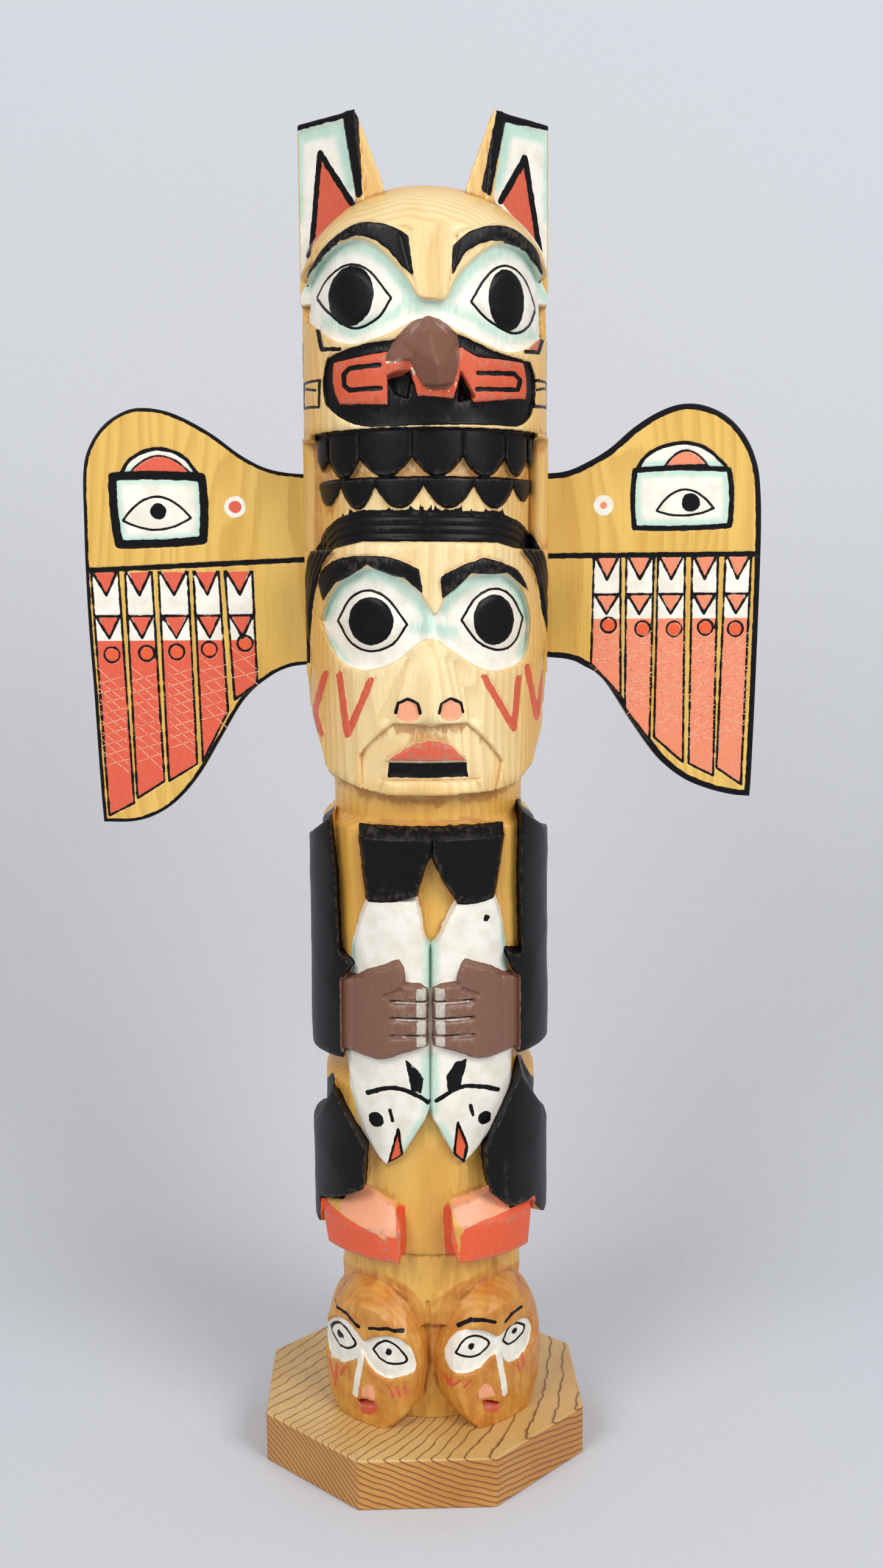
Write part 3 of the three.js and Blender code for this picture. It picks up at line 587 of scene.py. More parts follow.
LITTLE_EDGES = [
    [(-66, 20), (-66, 70), (-44, 74, 1.5), (-35, 84, 1), (-24, 87), (-15, 85, 1.5), (-3.5, 73), (-3, 47),
     (-5, 35),
     (-12, 28), (-21, 20)],
    [(66, 20), (66, 70), (43, 74, 1.5), (34, 84, 1), (24, 88), (14, 85, 1.5), (-2, 75), (-2.6, 47),
     (1, 36), (10, 27),
     (18, 20)],
]
for turn, edges in zip((-1, 1), LITTLE_EDGES):
    little_head(turn, outline(edges))
shapes("stain", LITTLE_EDGES)
groove([(-2.8, 76), (-2.8, 47), (-5, 33)], 3, 1.6)
for socket in shapes("white", [
    flowing([(-47.9, 50), (-46.2, 57), (-43.8, 61.5), (-40.4, 64.5), (-37.2, 64.7), (-34.1, 62.6),
             (-30.5, 59),
             (-26.1, 62), (-20.8, 63.9), (-15.6, 64.1), (-12.2, 61.8), (-9.6, 58.4), (-7.9, 51.6),
             (-9.7, 49.2),
             (-14, 46.9), (-18.4, 45.1), (-21.9, 45), (-25.4, 46.3), (-28, 48.7), (-30.2, 52), (-31.5, 53.5),
             (-33.3, 50.3), (-36.1, 47.5), (-39.8, 45.4), (-43.1, 43.9), (-46.1, 43), (-47.9, 50)]),
    flowing([(3.8, 54.8), (5.1, 58.4), (8.2, 63.6), (12.2, 66.3), (17.5, 66.7), (22.8, 64.5), (27.2, 61),
             (31.1, 62.4), (36.9, 64), (41, 62), (43.4, 56), (42.5, 50), (38, 46.7), (33, 46.6), (30.6, 49.2),
             (28.3, 53.5), (26.5, 53.5), (22.8, 51.5), (19.2, 48.8), (15.6, 47.8), (10.3, 48.2), (6, 50.1),
             (3.8, 54.8)]),
]):
    carve(socket, LITTLE - 2.2, wall=1.4, limit=np.minimum)
for lens in shapes("lens", [
    flowing([(-45.6, 54), (-43.8, 58), (-40.5, 60.8), (-37, 59), (-34.1, 55.3), (-38, 51.6), (-42.5, 50.8),
             (-45.6, 54)]),
    flowing([(-26.3, 55.9), (-24, 59.4), (-20.5, 61.2), (-16.2, 59.8), (-11.8, 54.1), (-15, 51.8),
             (-19.2, 51.2),
             (-23.5, 52.6), (-26.3, 55.9)]),
    flowing([(9, 57.2), (12.1, 62), (17, 63.4), (21, 61.4), (23.7, 58.3), (19.6, 54.8), (14.7, 54.2),
             (9, 57.2)]),
    flowing([(29.9, 57.1), (32, 61.2), (35.3, 62.4), (40.2, 58.4), (37.7, 55.1), (33, 54.2), (29.9, 57.1)]),
]):
    carve(lens, LITTLE - 1.2, round_edge=3, limit=np.minimum)
shapes("black", [disc(-41, 55.6, 3.2), disc(-19.7, 56.4, 3.2), disc(15.8, 58.9, 3), disc(35.3, 59, 2.8)])
for brow in (
    [(-42.6, 69), (-38, 68.8), (-32.7, 65.2)], [(-27.8, 66), (-20, 67.8), (-13.6, 67)],
    [(10.2, 67.4), (15.7, 70.6), (21, 70.8), (26.2, 68)], [(31, 67), (34, 69.4), (38.4, 69.8)],
):
    stroke(brow, 1.6)
for x, z in ((-31.5, 55), (28, 56)):
    turn = np.sign(x)
    ridge([(x + 0.6 * turn, z, 5, 48.4, 2.5), (x + 1.6 * turn, z - 10, 7, 49.6, 3),
           (x + turn, z - 21, 9.5, LITTLE, 3.4),
           (x + turn, z - 24, 8.5, LITTLE - 1, 3)])
line("white", [(-31.2, 54), (-33.2, 43), (-34.4, 33.4)], 2.5)
line("white", [(27.4, 55), (29.5, 43), (30.7, 34)], 2.5)
shapes("salmon", [[(-31.6, 33.4), (-31.4, 37.5), (-28.9, 40.6), (-26.5, 39.6), (-25.7, 36.5), (-26.4, 33.4)],
                  [(19, 35.6), (18.9, 39.7), (21.7, 41.8), (24.7, 39.4), (26.3, 34.6)]])
shapes("red", [[(-33.3, 31.4), (-24.7, 33.6), (-24.7, 29.2), (-28.2, 26.4), (-31.8, 26)],
               [(19.9, 34.2), (28.1, 31), (27.2, 26.4), (21.6, 29)]])
for mouth in shapes("black", [[(-33, 31.2, 0.4), (-26.4, 33.2), (-26.6, 31.6), (-31.6, 29.8)],
                              [(20.6, 33.8, 0.3), (27.8, 31), (26.8, 30), (21.4, 32.2)]]):
    carve(mouth, LITTLE - 4, wall=1.2, limit=np.minimum)
for marks in (
    [(-46, 41), (-44.6, 35.4)], [(-42.6, 42.1), (-43.7, 32)], [(-39.2, 44), (-41, 38.4)],
    [(-20.2, 42.7), (-17.6, 37.7)],
    [(-16.7, 42.4), (-15, 38.2)], [(-13.6, 42.9), (-12.4, 39.4)], [(3.9, 45.4), (5.8, 43)],
    [(7.2, 45.9), (5.9, 42)],
    [(10.3, 45.1), (7.2, 42)], [(15.4, 45), (12.4, 42)], [(36.2, 45.4), (37.7, 41)],
    [(38.9, 46.6), (39.6, 42)],
):
    line("red", marks, 1.3)
    groove(np.array(marks, float) + (0.8, 0), 1.2, 0.4, LITTLE)

# Knife and gouge leave shallow hollows that meet in ridges, longest on the big plain surfaces.
rng = np.random.default_rng(11)
u_grid, z_grid = np.broadcast_to(across(LOG), relief.shape), np.broadcast_to(rows_z[:, None], relief.shape)


def tool_marks(z0, z1, spacing, deep, tall=1.6):
    """Hollows over the whole round of the log between two heights."""
    count = int(2 * 90 * (z1 - z0) / spacing**2 / tall)
    seeds = np.stack([rng.uniform(-92, 92, count), rng.uniform(z0 - 8, z1 + 8, count)], axis=1)
    rows = np.flatnonzero((rows_z > z0) & (rows_z < z1))
    for chunk in np.array_split(rows, max(1, len(rows) // 40)):
        low, high = rows_z[chunk[0]] - 3 * spacing, rows_z[chunk[-1]] + 3 * spacing
        near = seeds[(seeds[:, 1] > low) & (seeds[:, 1] < high)]
        gap = np.full((len(chunk), len(angle)), 1e9)
        for u, z in near:
            gap = np.minimum(gap, (u_grid[chunk] - u) ** 2 + ((z_grid[chunk] - z) / tall) ** 2)
        relief[chunk] -= deep * (1 - np.clip(gap / spacing**2, 0, 1))


tool_marks(22, 99, 3.2, 0.7, 2.2)
tool_marks(99, 300, 9, 0.45)
tool_marks(300, 545, 11, 0.25)

# The grid becomes a closed mesh: the front is round, the sides are straight and the back is flat.
x = np.where(behind, side * np.minimum(np.abs(outer_x), relief), front_x(relief))
y = np.where(behind, outer_y, -np.sqrt(np.clip(relief**2 - x**2, 0.01, None)))
jaw_z, jaw_left, jaw_right = np.array(JAW[::-1], float).T
jaw_rows = between(296.5, 345)
x[jaw_rows] = np.clip(x[jaw_rows], np.interp(rows_z[jaw_rows], jaw_z, jaw_left)[:, None],
                      np.interp(rows_z[jaw_rows], jaw_z, jaw_right)[:, None])
reach = np.sqrt((x / DOME[0]) ** 2 + (y / DOME[1]) ** 2)
crown = np.minimum(1, dome_scale[:, None] / reach)
crown = np.where(dome_scale[:, None] < 1, crown + proud * (1 - crown), 1)
x, y = x * crown, y * crown
z = np.broadcast_to(rows_z[:, None], x.shape)

rows, columns = x.shape
grid = np.arange(rows * columns).reshape(rows, columns)
here, right, above = grid[:-1], np.roll(grid, -1, axis=1)[:-1], grid[1:]
faces = np.stack([here, right, np.roll(above, -1, axis=1), above], axis=-1).reshape(-1, 4).tolist()
bottom, top = rows * columns, rows * columns + 1
faces += [(bottom, b, a) for a, b in zip(grid[0], np.roll(grid[0], -1))]
faces += [(top, a, b) for a, b in zip(grid[-1], np.roll(grid[-1], -1))]
poles = [(0, 0, FOOT_Z), (0, 0, DOME_Z + DOME[2])]
places = np.concatenate([np.stack([x, y, z], axis=-1).reshape(-1, 3), poles])


def new_piece(name, vertices, faces):
    """An object at the origin, from vertices in millimetres."""
    mesh = bpy.data.meshes.new(name)
    mesh.from_pydata((np.asarray(vertices) * MM).tolist(), [], faces)
    mesh.update()
    piece = bpy.data.objects.new(name, mesh)
    bpy.context.scene.collection.objects.link(piece)
    return piece


def drop(piece):
    mesh = piece.data
    bpy.data.objects.remove(piece)
    bpy.data.meshes.remove(mesh)


def with_modifier(piece, kind, **settings):
    """Puts one modifier's result in the piece's own mesh."""
    modifier = piece.modifiers.new(kind, kind)
    for name, value in settings.items():
        setattr(modifier, name, value)
    bpy.context.view_layer.update()
    evaluated = piece.evaluated_get(bpy.context.evaluated_depsgraph_get())
    mesh = bpy.data.meshes.new_from_object(evaluated)
    piece.modifiers.clear()
    old, piece.data = piece.data, mesh
    bpy.data.meshes.remove(old)
    mesh.name = piece.name
    return piece


def combined(piece, other, operation):
    with_modifier(piece, "BOOLEAN", object=other, operation=operation, solver="MANIFOLD")
    drop(other)
    return piece


pole = new_piece("carved_pole", places, faces)


# The ears stand on the edge of the crown. Each is a blade that turns with the log, hollowed inside
# a rim, with a flare of wood at the foot of its inner side. The beak hooks forward from the face.
def hull(name, points):
    mesh = bmesh.new()
    for point in points:
        mesh.verts.new(Vector(point) * MM)
    bmesh.ops.convex_hull(mesh, input=mesh.verts)
    bmesh.ops.delete(mesh, geom=[v for v in mesh.verts if not v.link_faces], context="VERTS")
    bmesh.ops.recalc_face_normals(mesh, faces=mesh.faces)
    piece = new_piece(name, [], [])
    mesh.to_mesh(piece.data)
    mesh.free()
    return piece


def ear(turn):
    def at(x, depth, z):
        return (turn * x, -22 + (x - 28) * 0.86 + depth, z)

    blade = hull("ear", [
        at(24.5, 0, 540), at(28, 0, EAR_TOP - 0.3), at(56, 0, 500), at(56, 0, EAR_TOP - 1), at(24.5, 0, 500),
        (turn * 24.5, 16, 500), (turn * 28, 4, EAR_TOP - 0.3), (turn * 56, 26, 500),
        (turn * 56, 14, EAR_TOP - 1),
    ])
    flare = hull("flare", [
        at(27, 2, 572), at(16.5, 5, 543), at(30, 2, 572), at(16.5, 5, 505), at(30, 2, 505),
        (turn * 16.5, 12, 543), (turn * 30, 12, 572), (turn * 16.5, 14, 505), (turn * 30, 14, 505),
    ])
    turns = np.radians(np.arange(0, 360, 2.0))
    ring = [(LOG * math.sin(t), -LOG * math.cos(t), z) for t in turns for z in (490, EAR_TOP + 5)]
    hollowed = hull("ear_face", [
        at(x, depth, z) for depth in (-9, 1.6)
        for x, z in ((33, EAR_TOP - 3.5), (28.2, 540), (28.2, 505), (56, 505), (56, EAR_TOP - 3.2))
    ])
    whole = combined(combined(blade, flare, "UNION"), hull("log_round", ring), "INTERSECT")
    return combined(whole, hollowed, "DIFFERENCE")


def softened(piece, voxel, rough):
    """Rounds a sharp-edged block as sanding and paint do, and leaves it slightly uneven."""
    with_modifier(piece, "REMESH", mode="VOXEL", voxel_size=voxel * MM)
    with_modifier(piece, "SMOOTH", factor=0.5, iterations=2)
    texture = bpy.data.textures.new(piece.name + "_hand", "CLOUDS")
    texture.noise_scale = 6 * MM
    settings = {"strength": rough * MM, "mid_level": 1.0, "texture_coords": "LOCAL"}
    return with_modifier(piece, "DISPLACE", texture=texture, **settings)


hook = hull("beak", [
    (0, -52, 488), (-12, -49, 480), (11, -49, 481), (-7, -51.5, 471), (12, -50, 470), (-2, -53, 461),
    (10, -51.5, 462), (1.5, -57.5, 478), (3.5, -60, 468), (4.5, -57.2, 460.6), (6.5, -57.5, 469),
    (-12, -40, 480), (12, -40, 481), (-2, -40, 461), (10, -40, 462),
])
flange = hull("beak_flange", [
    (-12, -49, 480), (-16.5, -47.5, 472), (-16, -47.5, 470.5), (-7, -52.5, 471), (-3, -54, 478),
    (-16, -38, 472), (-7, -38, 471), (-12, -38, 480),
])
beak = softened(combined(hook, flange, "UNION"), 0.6, 0.25)
for turn in (-1, 1):
    combined(pole, softened(ear(turn), 0.8, 0.3), "UNION")
combined(pole, beak, "UNION")
for left, right in ((-80, -46.2), (46.2, 80)):
    gap = [(x, y, z) for x in (left, right) for y in (4.2, 11.8) for z in (349.5, 431.5)]
    combined(pole, hull("wing_slot", gap), "DIFFERENCE")
with_modifier(pole, "DECIMATE", ratio=190000 / sum(len(p.vertices) - 2 for p in pole.data.polygons))
with_modifier(pole, "TRIANGULATE")


# ---- The log: its paint and varnish --------------------------------------------------------------
# Satin oil paint, brushed on by hand over bare wood, then one coat of clear varnish. Each vertex
# carries its distance in millimetres from the edge of every paint, positive where the paint lies,
# so that the material can draw a crisp and slightly unsteady edge.

LAYERS = {"paint_a": KINDS[0:4], "paint_b": KINDS[4:8], "paint_c": KINDS[8:12]}
REACH = 3.0


def coverage(shapes_of_kind, u, z):
    """How far each place lies inside the nearest of the shapes."""
    depth = np.full(len(u), -REACH)
    for points, closed, lap in shapes_of_kind:
        low, high = points.min(axis=0) - REACH - lap, points.max(axis=0) + REACH + lap
        near = np.flatnonzero((u > low[0]) & (u < high[0]) & (z > low[1]) & (z < high[1]))
        inside = distance_to(points, u[near], z[near], closed)
        depth[near] = np.maximum(depth[near], (inside if closed else -inside) + lap)
    return np.clip(depth, -REACH, REACH)


def paint(piece, drawn, u, z, hollow):
    """Writes the paint's distances, and how hollow the surface is, on the piece's vertices."""
    for name, kinds in LAYERS.items():
        layer = piece.data.attributes.new(name, "FLOAT_COLOR", "POINT")
        values = np.stack([coverage(drawn[kind], u, z) for kind in kinds], axis=1)
        layer.data.foreach_set("color", values.astype(np.float32).ravel())
    layer = piece.data.attributes.new("hollow", "FLOAT", "POINT")
    layer.data.foreach_set("value", hollow.astype(np.float32))


def places_of(piece):
    flat = np.empty(len(piece.data.vertices) * 3, np.float32)
    piece.data.vertices.foreach_get("co", flat)
    return flat.reshape(-1, 3).astype(float) / MM


def hollowness(piece, rounds=3):
    """How far each vertex lies below the smoothed surface round it, in millimetres."""
    co = places_of(piece)
    flat = np.empty(len(piece.data.vertices) * 3, np.float32)
    piece.data.vertex_normals.foreach_get("vector", flat)
    edges = np.empty(len(piece.data.edges) * 2, np.int32)
    piece.data.edges.foreach_get("vertices", edges)
    a, b = edges.reshape(-1, 2).T
    count = np.bincount(np.concatenate([a, b]), minlength=len(co))[:, None]
    soft = co.copy()
    for _ in range(rounds):
        total = np.zeros_like(soft)
        np.add.at(total, a, soft[b])
        np.add.at(total, b, soft[a])
        soft = (soft + total) / (1 + count)
    return np.clip(((soft - co) * flat.reshape(-1, 3)).sum(axis=1), -1.5, 1.5)


co = places_of(pole)
u = np.where(co[:, 1] <= 0, co[:, 0], np.sign(co[:, 0]) * (np.hypot(co[:, 0], co[:, 1]) + co[:, 1]))
u[(co[:, 1] > 0.5) & (co[:, 2] > 499)] = UNPAINTED
paint(pole, painted, u, co[:, 2], hollowness(pole))


def srgb(code):
    """A colour in sRGB hex, as linear values with alpha."""
    parts = [int(code[i:i + 2], 16) / 255 for i in (1, 3, 5)]
    return (*[c / 12.92 if c <= 0.04045 else ((c + 0.055) / 1.055) ** 2.4 for c in parts], 1.0)


def add(tree, kind, values=None, **settings):
    """One node with its settings, and its inputs: each a value, or an output to link."""
    made = tree.nodes.new(kind)
    for name, value in settings.items():
        setattr(made, name, value)
    for key, value in (values or {}).items():
        if isinstance(value, bpy.types.NodeSocket):
            tree.links.new(value, made.inputs[key])
        else:
            made.inputs[key].default_value = value
    return made


def maths(tree, operation, a, b=0.0, c=0.0):
    return add(tree, "ShaderNodeMath", {0: a, 1: b, 2: c}, operation=operation).outputs[0]


def ramp(tree, value, start, stop, low=0.0, high=1.0, kind="SMOOTHSTEP"):
    values = {"Value": value, "From Min": start, "From Max": stop, "To Min": low, "To Max": high}
    return add(tree, "ShaderNodeMapRange", values, interpolation_type=kind).outputs["Result"]


def mix(tree, share, under, over, blend="MIX"):
    values = {"Factor": share, 6: under, 7: over}
    return add(tree, "ShaderNodeMix", values, data_type="RGBA", blend_type=blend).outputs[2]


def noise(tree, place, size, stretch=(1, 1, 1), detail=3.0, rough=0.5, warp=0.0):
    """Noise whose blotches are about `size` mm across, times the stretch along each axis."""
    scale = [1 / (size * s) for s in stretch]
    scaled = add(tree, "ShaderNodeVectorMath", {0: place, 1: scale}, operation="MULTIPLY").outputs[0]
    values = {"Vector": scaled, "Scale": 1.0, "Detail": detail, "Roughness": rough, "Distortion": warp}
    return add(tree, "ShaderNodeTexNoise", values).outputs["Fac"]


def in_mm(tree):
    coordinates = add(tree, "ShaderNodeTexCoord").outputs["Object"]
    return add(tree, "ShaderNodeVectorMath", {0: coordinates, "Scale": 1 / MM}, operation="SCALE").outputs[0]


def new_material(name):
    material = bpy.data.materials.new(name)
    material.use_nodes = True
    tree = material.node_tree
    tree.nodes.clear()
    shader = add(tree, "ShaderNodeBsdfPrincipled")
    add(tree, "ShaderNodeOutputMaterial", {"Surface": shader.outputs[0]})
    return material, tree, shader


def softwood(tree, place, pith, pitch, pale, deep, line, strength):
    """Sawn softwood: growth rings about a pith that runs upward, fine fibres, and slow changes of
    tone. Returns its colour, and a height for bump."""
    bend = noise(tree, place, 38, (1, 1, 5), 2)
    centred = add(tree, "ShaderNodeVectorMath", {0: place, 1: (*pith, 0)}, operation="SUBTRACT").outputs[0]
    flat = add(tree, "ShaderNodeVectorMath", {0: centred, 1: (1, 1, 0)}, operation="MULTIPLY").outputs[0]
    radius = add(tree, "ShaderNodeVectorMath", {0: flat}, operation="LENGTH").outputs["Value"]
    rings = maths(tree, "MULTIPLY_ADD", bend, 14.0, radius)
    phase = maths(tree, "FRACT", maths(tree, "DIVIDE", rings, pitch))
    late = maths(tree, "MULTIPLY", ramp(tree, phase, 0.25, 0.86), ramp(tree, phase, 1.0, 0.9))
    fibre = noise(tree, place, 0.55, (1, 1, 34), 3)
    tone = noise(tree, place, 45, (1, 1, 3), 3)
    colour = mix(tree, ramp(tree, tone, 0.3, 0.7), srgb(pale), srgb(deep))
    colour = mix(tree, maths(tree, "MULTIPLY", late, strength), colour, srgb(line))
    colour = mix(tree, ramp(tree, fibre, 0.52, 0.75, 0.0, 0.35), colour, srgb(line))
    height = maths(tree, "MULTIPLY_ADD", late, -0.35, maths(tree, "MULTIPLY", fibre, 0.5))
    return colour, height


def painted_wood(name, wood, colours, stain="#D99A55", golden_tone_and_side_shade=None):
    """Hand-painted softwood under clear varnish. `wood` sets its grain, `colours` each paint's colour, and
    the last argument a golden tone: the varnish's tone low down, below the head, and painted shade at
    the sides, where the log turns away from the front."""
    material, tree, shader = new_material(name)
    place = in_mm(tree)
    bare, grain = softwood(tree, place, **wood)
    if golden_tone_and_side_shade:
        # Golden below the head; at the sides the same tone is painted shade, darker where the log turns away
        # from the front.
        split = add(tree, "ShaderNodeSeparateXYZ", {0: place})
        drift = noise(tree, place, 30)
        low = ramp(tree, maths(tree, "MULTIPLY_ADD", drift, 18.0, split.outputs["Z"]), 300, 318, 1.0, 0.0)
        side_shade = ramp(tree, maths(tree, "MULTIPLY_ADD", drift, 12.0, split.outputs["Y"]), -38, -14, 0.0, 0.75)
        golden_toned = mix(tree, 1.0, bare, srgb(golden_tone_and_side_shade), "MULTIPLY")
        bare = mix(tree, maths(tree, "MAXIMUM", low, side_shade), bare, golden_toned)
    hollow = add(tree, "ShaderNodeAttribute", attribute_name="hollow").outputs["Fac"]
    blotch = noise(tree, place, 7, detail=4)
    # Hollows darken toward brown ochre in blotches: painted shade in the recesses, and varnish pooled there.
    hollow_shade_and_varnish = maths(tree, "MULTIPLY", ramp(tree, hollow, 0.04, 0.4), ramp(tree, blotch, 0.3, 0.6, 0.35, 0.8))
    colour = mix(tree, hollow_shade_and_varnish, bare, srgb("#B5762F"))
    unsteady = maths(tree, "MULTIPLY_ADD", noise(tree, place, 3.2, detail=2), 0.9, -0.45)
    fine = maths(tree, "MULTIPLY_ADD", noise(tree, place, 0.6, detail=2), 0.24, -0.12)
    wobble = maths(tree, "ADD", unsteady, fine)
    rubbed = ramp(tree, noise(tree, place, 2.2, detail=4), 0.42, 0.62)
    worn = maths(tree, "MULTIPLY", ramp(tree, hollow, -0.1, -0.42), rubbed)
    brushed = noise(tree, place, 0.5, (1, 1, 7), 3)
    depth = {}
    for layer, kinds in LAYERS.items():
        attribute = add(tree, "ShaderNodeAttribute", attribute_name=layer)
        split = add(tree, "ShaderNodeSeparateColor", {0: attribute.outputs["Color"]})
        depth.update(zip(kinds, [*split.outputs, attribute.outputs["Alpha"]]))

    def mask(kind, soft=0.13, offset=0.0):
        moved = maths(tree, "ADD", depth[kind], wobble)
        return ramp(tree, maths(tree, "SUBTRACT", moved, offset), -soft, soft)

    stained = maths(tree, "MULTIPLY", mask("stain", 0.8), ramp(tree, blotch, 0.3, 0.7, 0.35, 0.95))
    colour = mix(tree, stained, colour, mix(tree, 0.75, colour, srgb(stain), "MULTIPLY"))
    whole = maths(tree, "MULTIPLY", mask("white"), maths(tree, "MULTIPLY_ADD", worn, -0.3, 1.0))
    white = mix(tree, ramp(tree, blotch, 0.35, 0.75), srgb(colours["white"]), srgb("#E3DBCB"))
    wash = maths(tree, "MULTIPLY", ramp(tree, maths(tree, "ADD", depth["teal"], wobble), -1.8, 1.6, 0.0, 0.6),
                 ramp(tree, brushed, 0.3, 0.6, 0.72, 1.0))
    colour = mix(tree, whole, colour, mix(tree, wash, white, srgb(colours["teal"])))
    covered = whole
    for kind in ("black", "red", "brown", "nail", "pale", "salmon", "orange"):
        kept = maths(tree, "MULTIPLY_ADD", worn, -0.12 if kind == "black" else -0.5, 1.0)
        streaks = ramp(tree, brushed, 0.35, 0.75, 0.0, 0.5)
        shade = mix(tree, streaks, srgb(colours[kind]), srgb(colours[kind + "_light"]))
        laid = mask(kind)
        colour = mix(tree, laid, colour, mix(tree, kept, srgb(colours["wear"]), shade))
        covered = maths(tree, "MAXIMUM", covered, laid)
    from_edge = maths(tree, "MULTIPLY_ADD", wobble, 0.6, depth["lens"])
    ring = ramp(tree, maths(tree, "ABSOLUTE", from_edge), 0.62, 0.4)
    lines = maths(tree, "MAXIMUM", ring, mask("stroke"))
    colour = mix(tree, lines, colour, srgb(colours["black"]))
    covered = maths(tree, "MAXIMUM", covered, lines)
    dark = maths(tree, "MAXIMUM", mask("black"), lines)
    relief = maths(tree, "MULTIPLY_ADD", covered, 0.5, maths(tree, "MULTIPLY", brushed, 0.3))
    relief = add(tree, "ShaderNodeMix", {"Factor": covered, 2: grain, 3: relief}).outputs[0]
    bump = add(tree, "ShaderNodeBump", {"Strength": 0.5, "Distance": 0.16 * MM, "Height": relief})
    tree.links.new(colour, shader.inputs["Base Color"])
    gloss = maths(tree, "MULTIPLY_ADD", brushed, 0.2, ramp(tree, dark, 0, 1, 0.36, 0.3))
    tree.links.new(gloss, shader.inputs["Roughness"])
    tree.links.new(bump.outputs[0], shader.inputs["Normal"])
    tree.links.new(ramp(tree, dark, 0, 1, 0.4, 0.16), shader.inputs["Specular IOR Level"])
    tree.links.new(ramp(tree, dark, 0, 1, 0.2, 0.03), shader.inputs["Coat Weight"])
    shader.inputs["Coat Roughness"].default_value = 0.25
    return material


PAINTS = {
    "white": "#F1ECDF", "teal": "#86CDBB", "black": "#08070A", "black_light": "#141217", "red": "#CE5638",
    "red_light": "#DB6E4E", "brown": "#78503F", "brown_light": "#8A604D", "nail": "#BDB6A8",
    "nail_light": "#D2CCBE",
    "pale": "#E9D9B4", "pale_light": "#F1E7CB", "salmon": "#EE9E76", "salmon_light": "#F3B08A",
    "orange": "#E0552C", "orange_light": "#E96A3E", "wear": "#9A8676",
}
LOG_WOOD = {"pith": (30, 120), "pitch": 2.6, "pale": "#F2DEAE", "deep": "#E9CB8E", "line": "#C9964A",
            "strength": 0.3}
pole.data.materials.clear()
pole.data.materials.append(painted_wood("varnished_carved_cedar", LOG_WOOD, PAINTS, golden_tone_and_side_shade="#EFCF86"))
for polygon in pole.data.polygons:
    polygon.material_index = 0
pole.data.shade_smooth()
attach(pole, "root")
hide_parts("pole")


# ---- The wings -----------------------------------------------------------------------------------
# Two wings sawn from thin softwood board, grain upright, their edges eased and their roots let into
# slots in the sides of the log. The drawing is scored into the face, then painted.

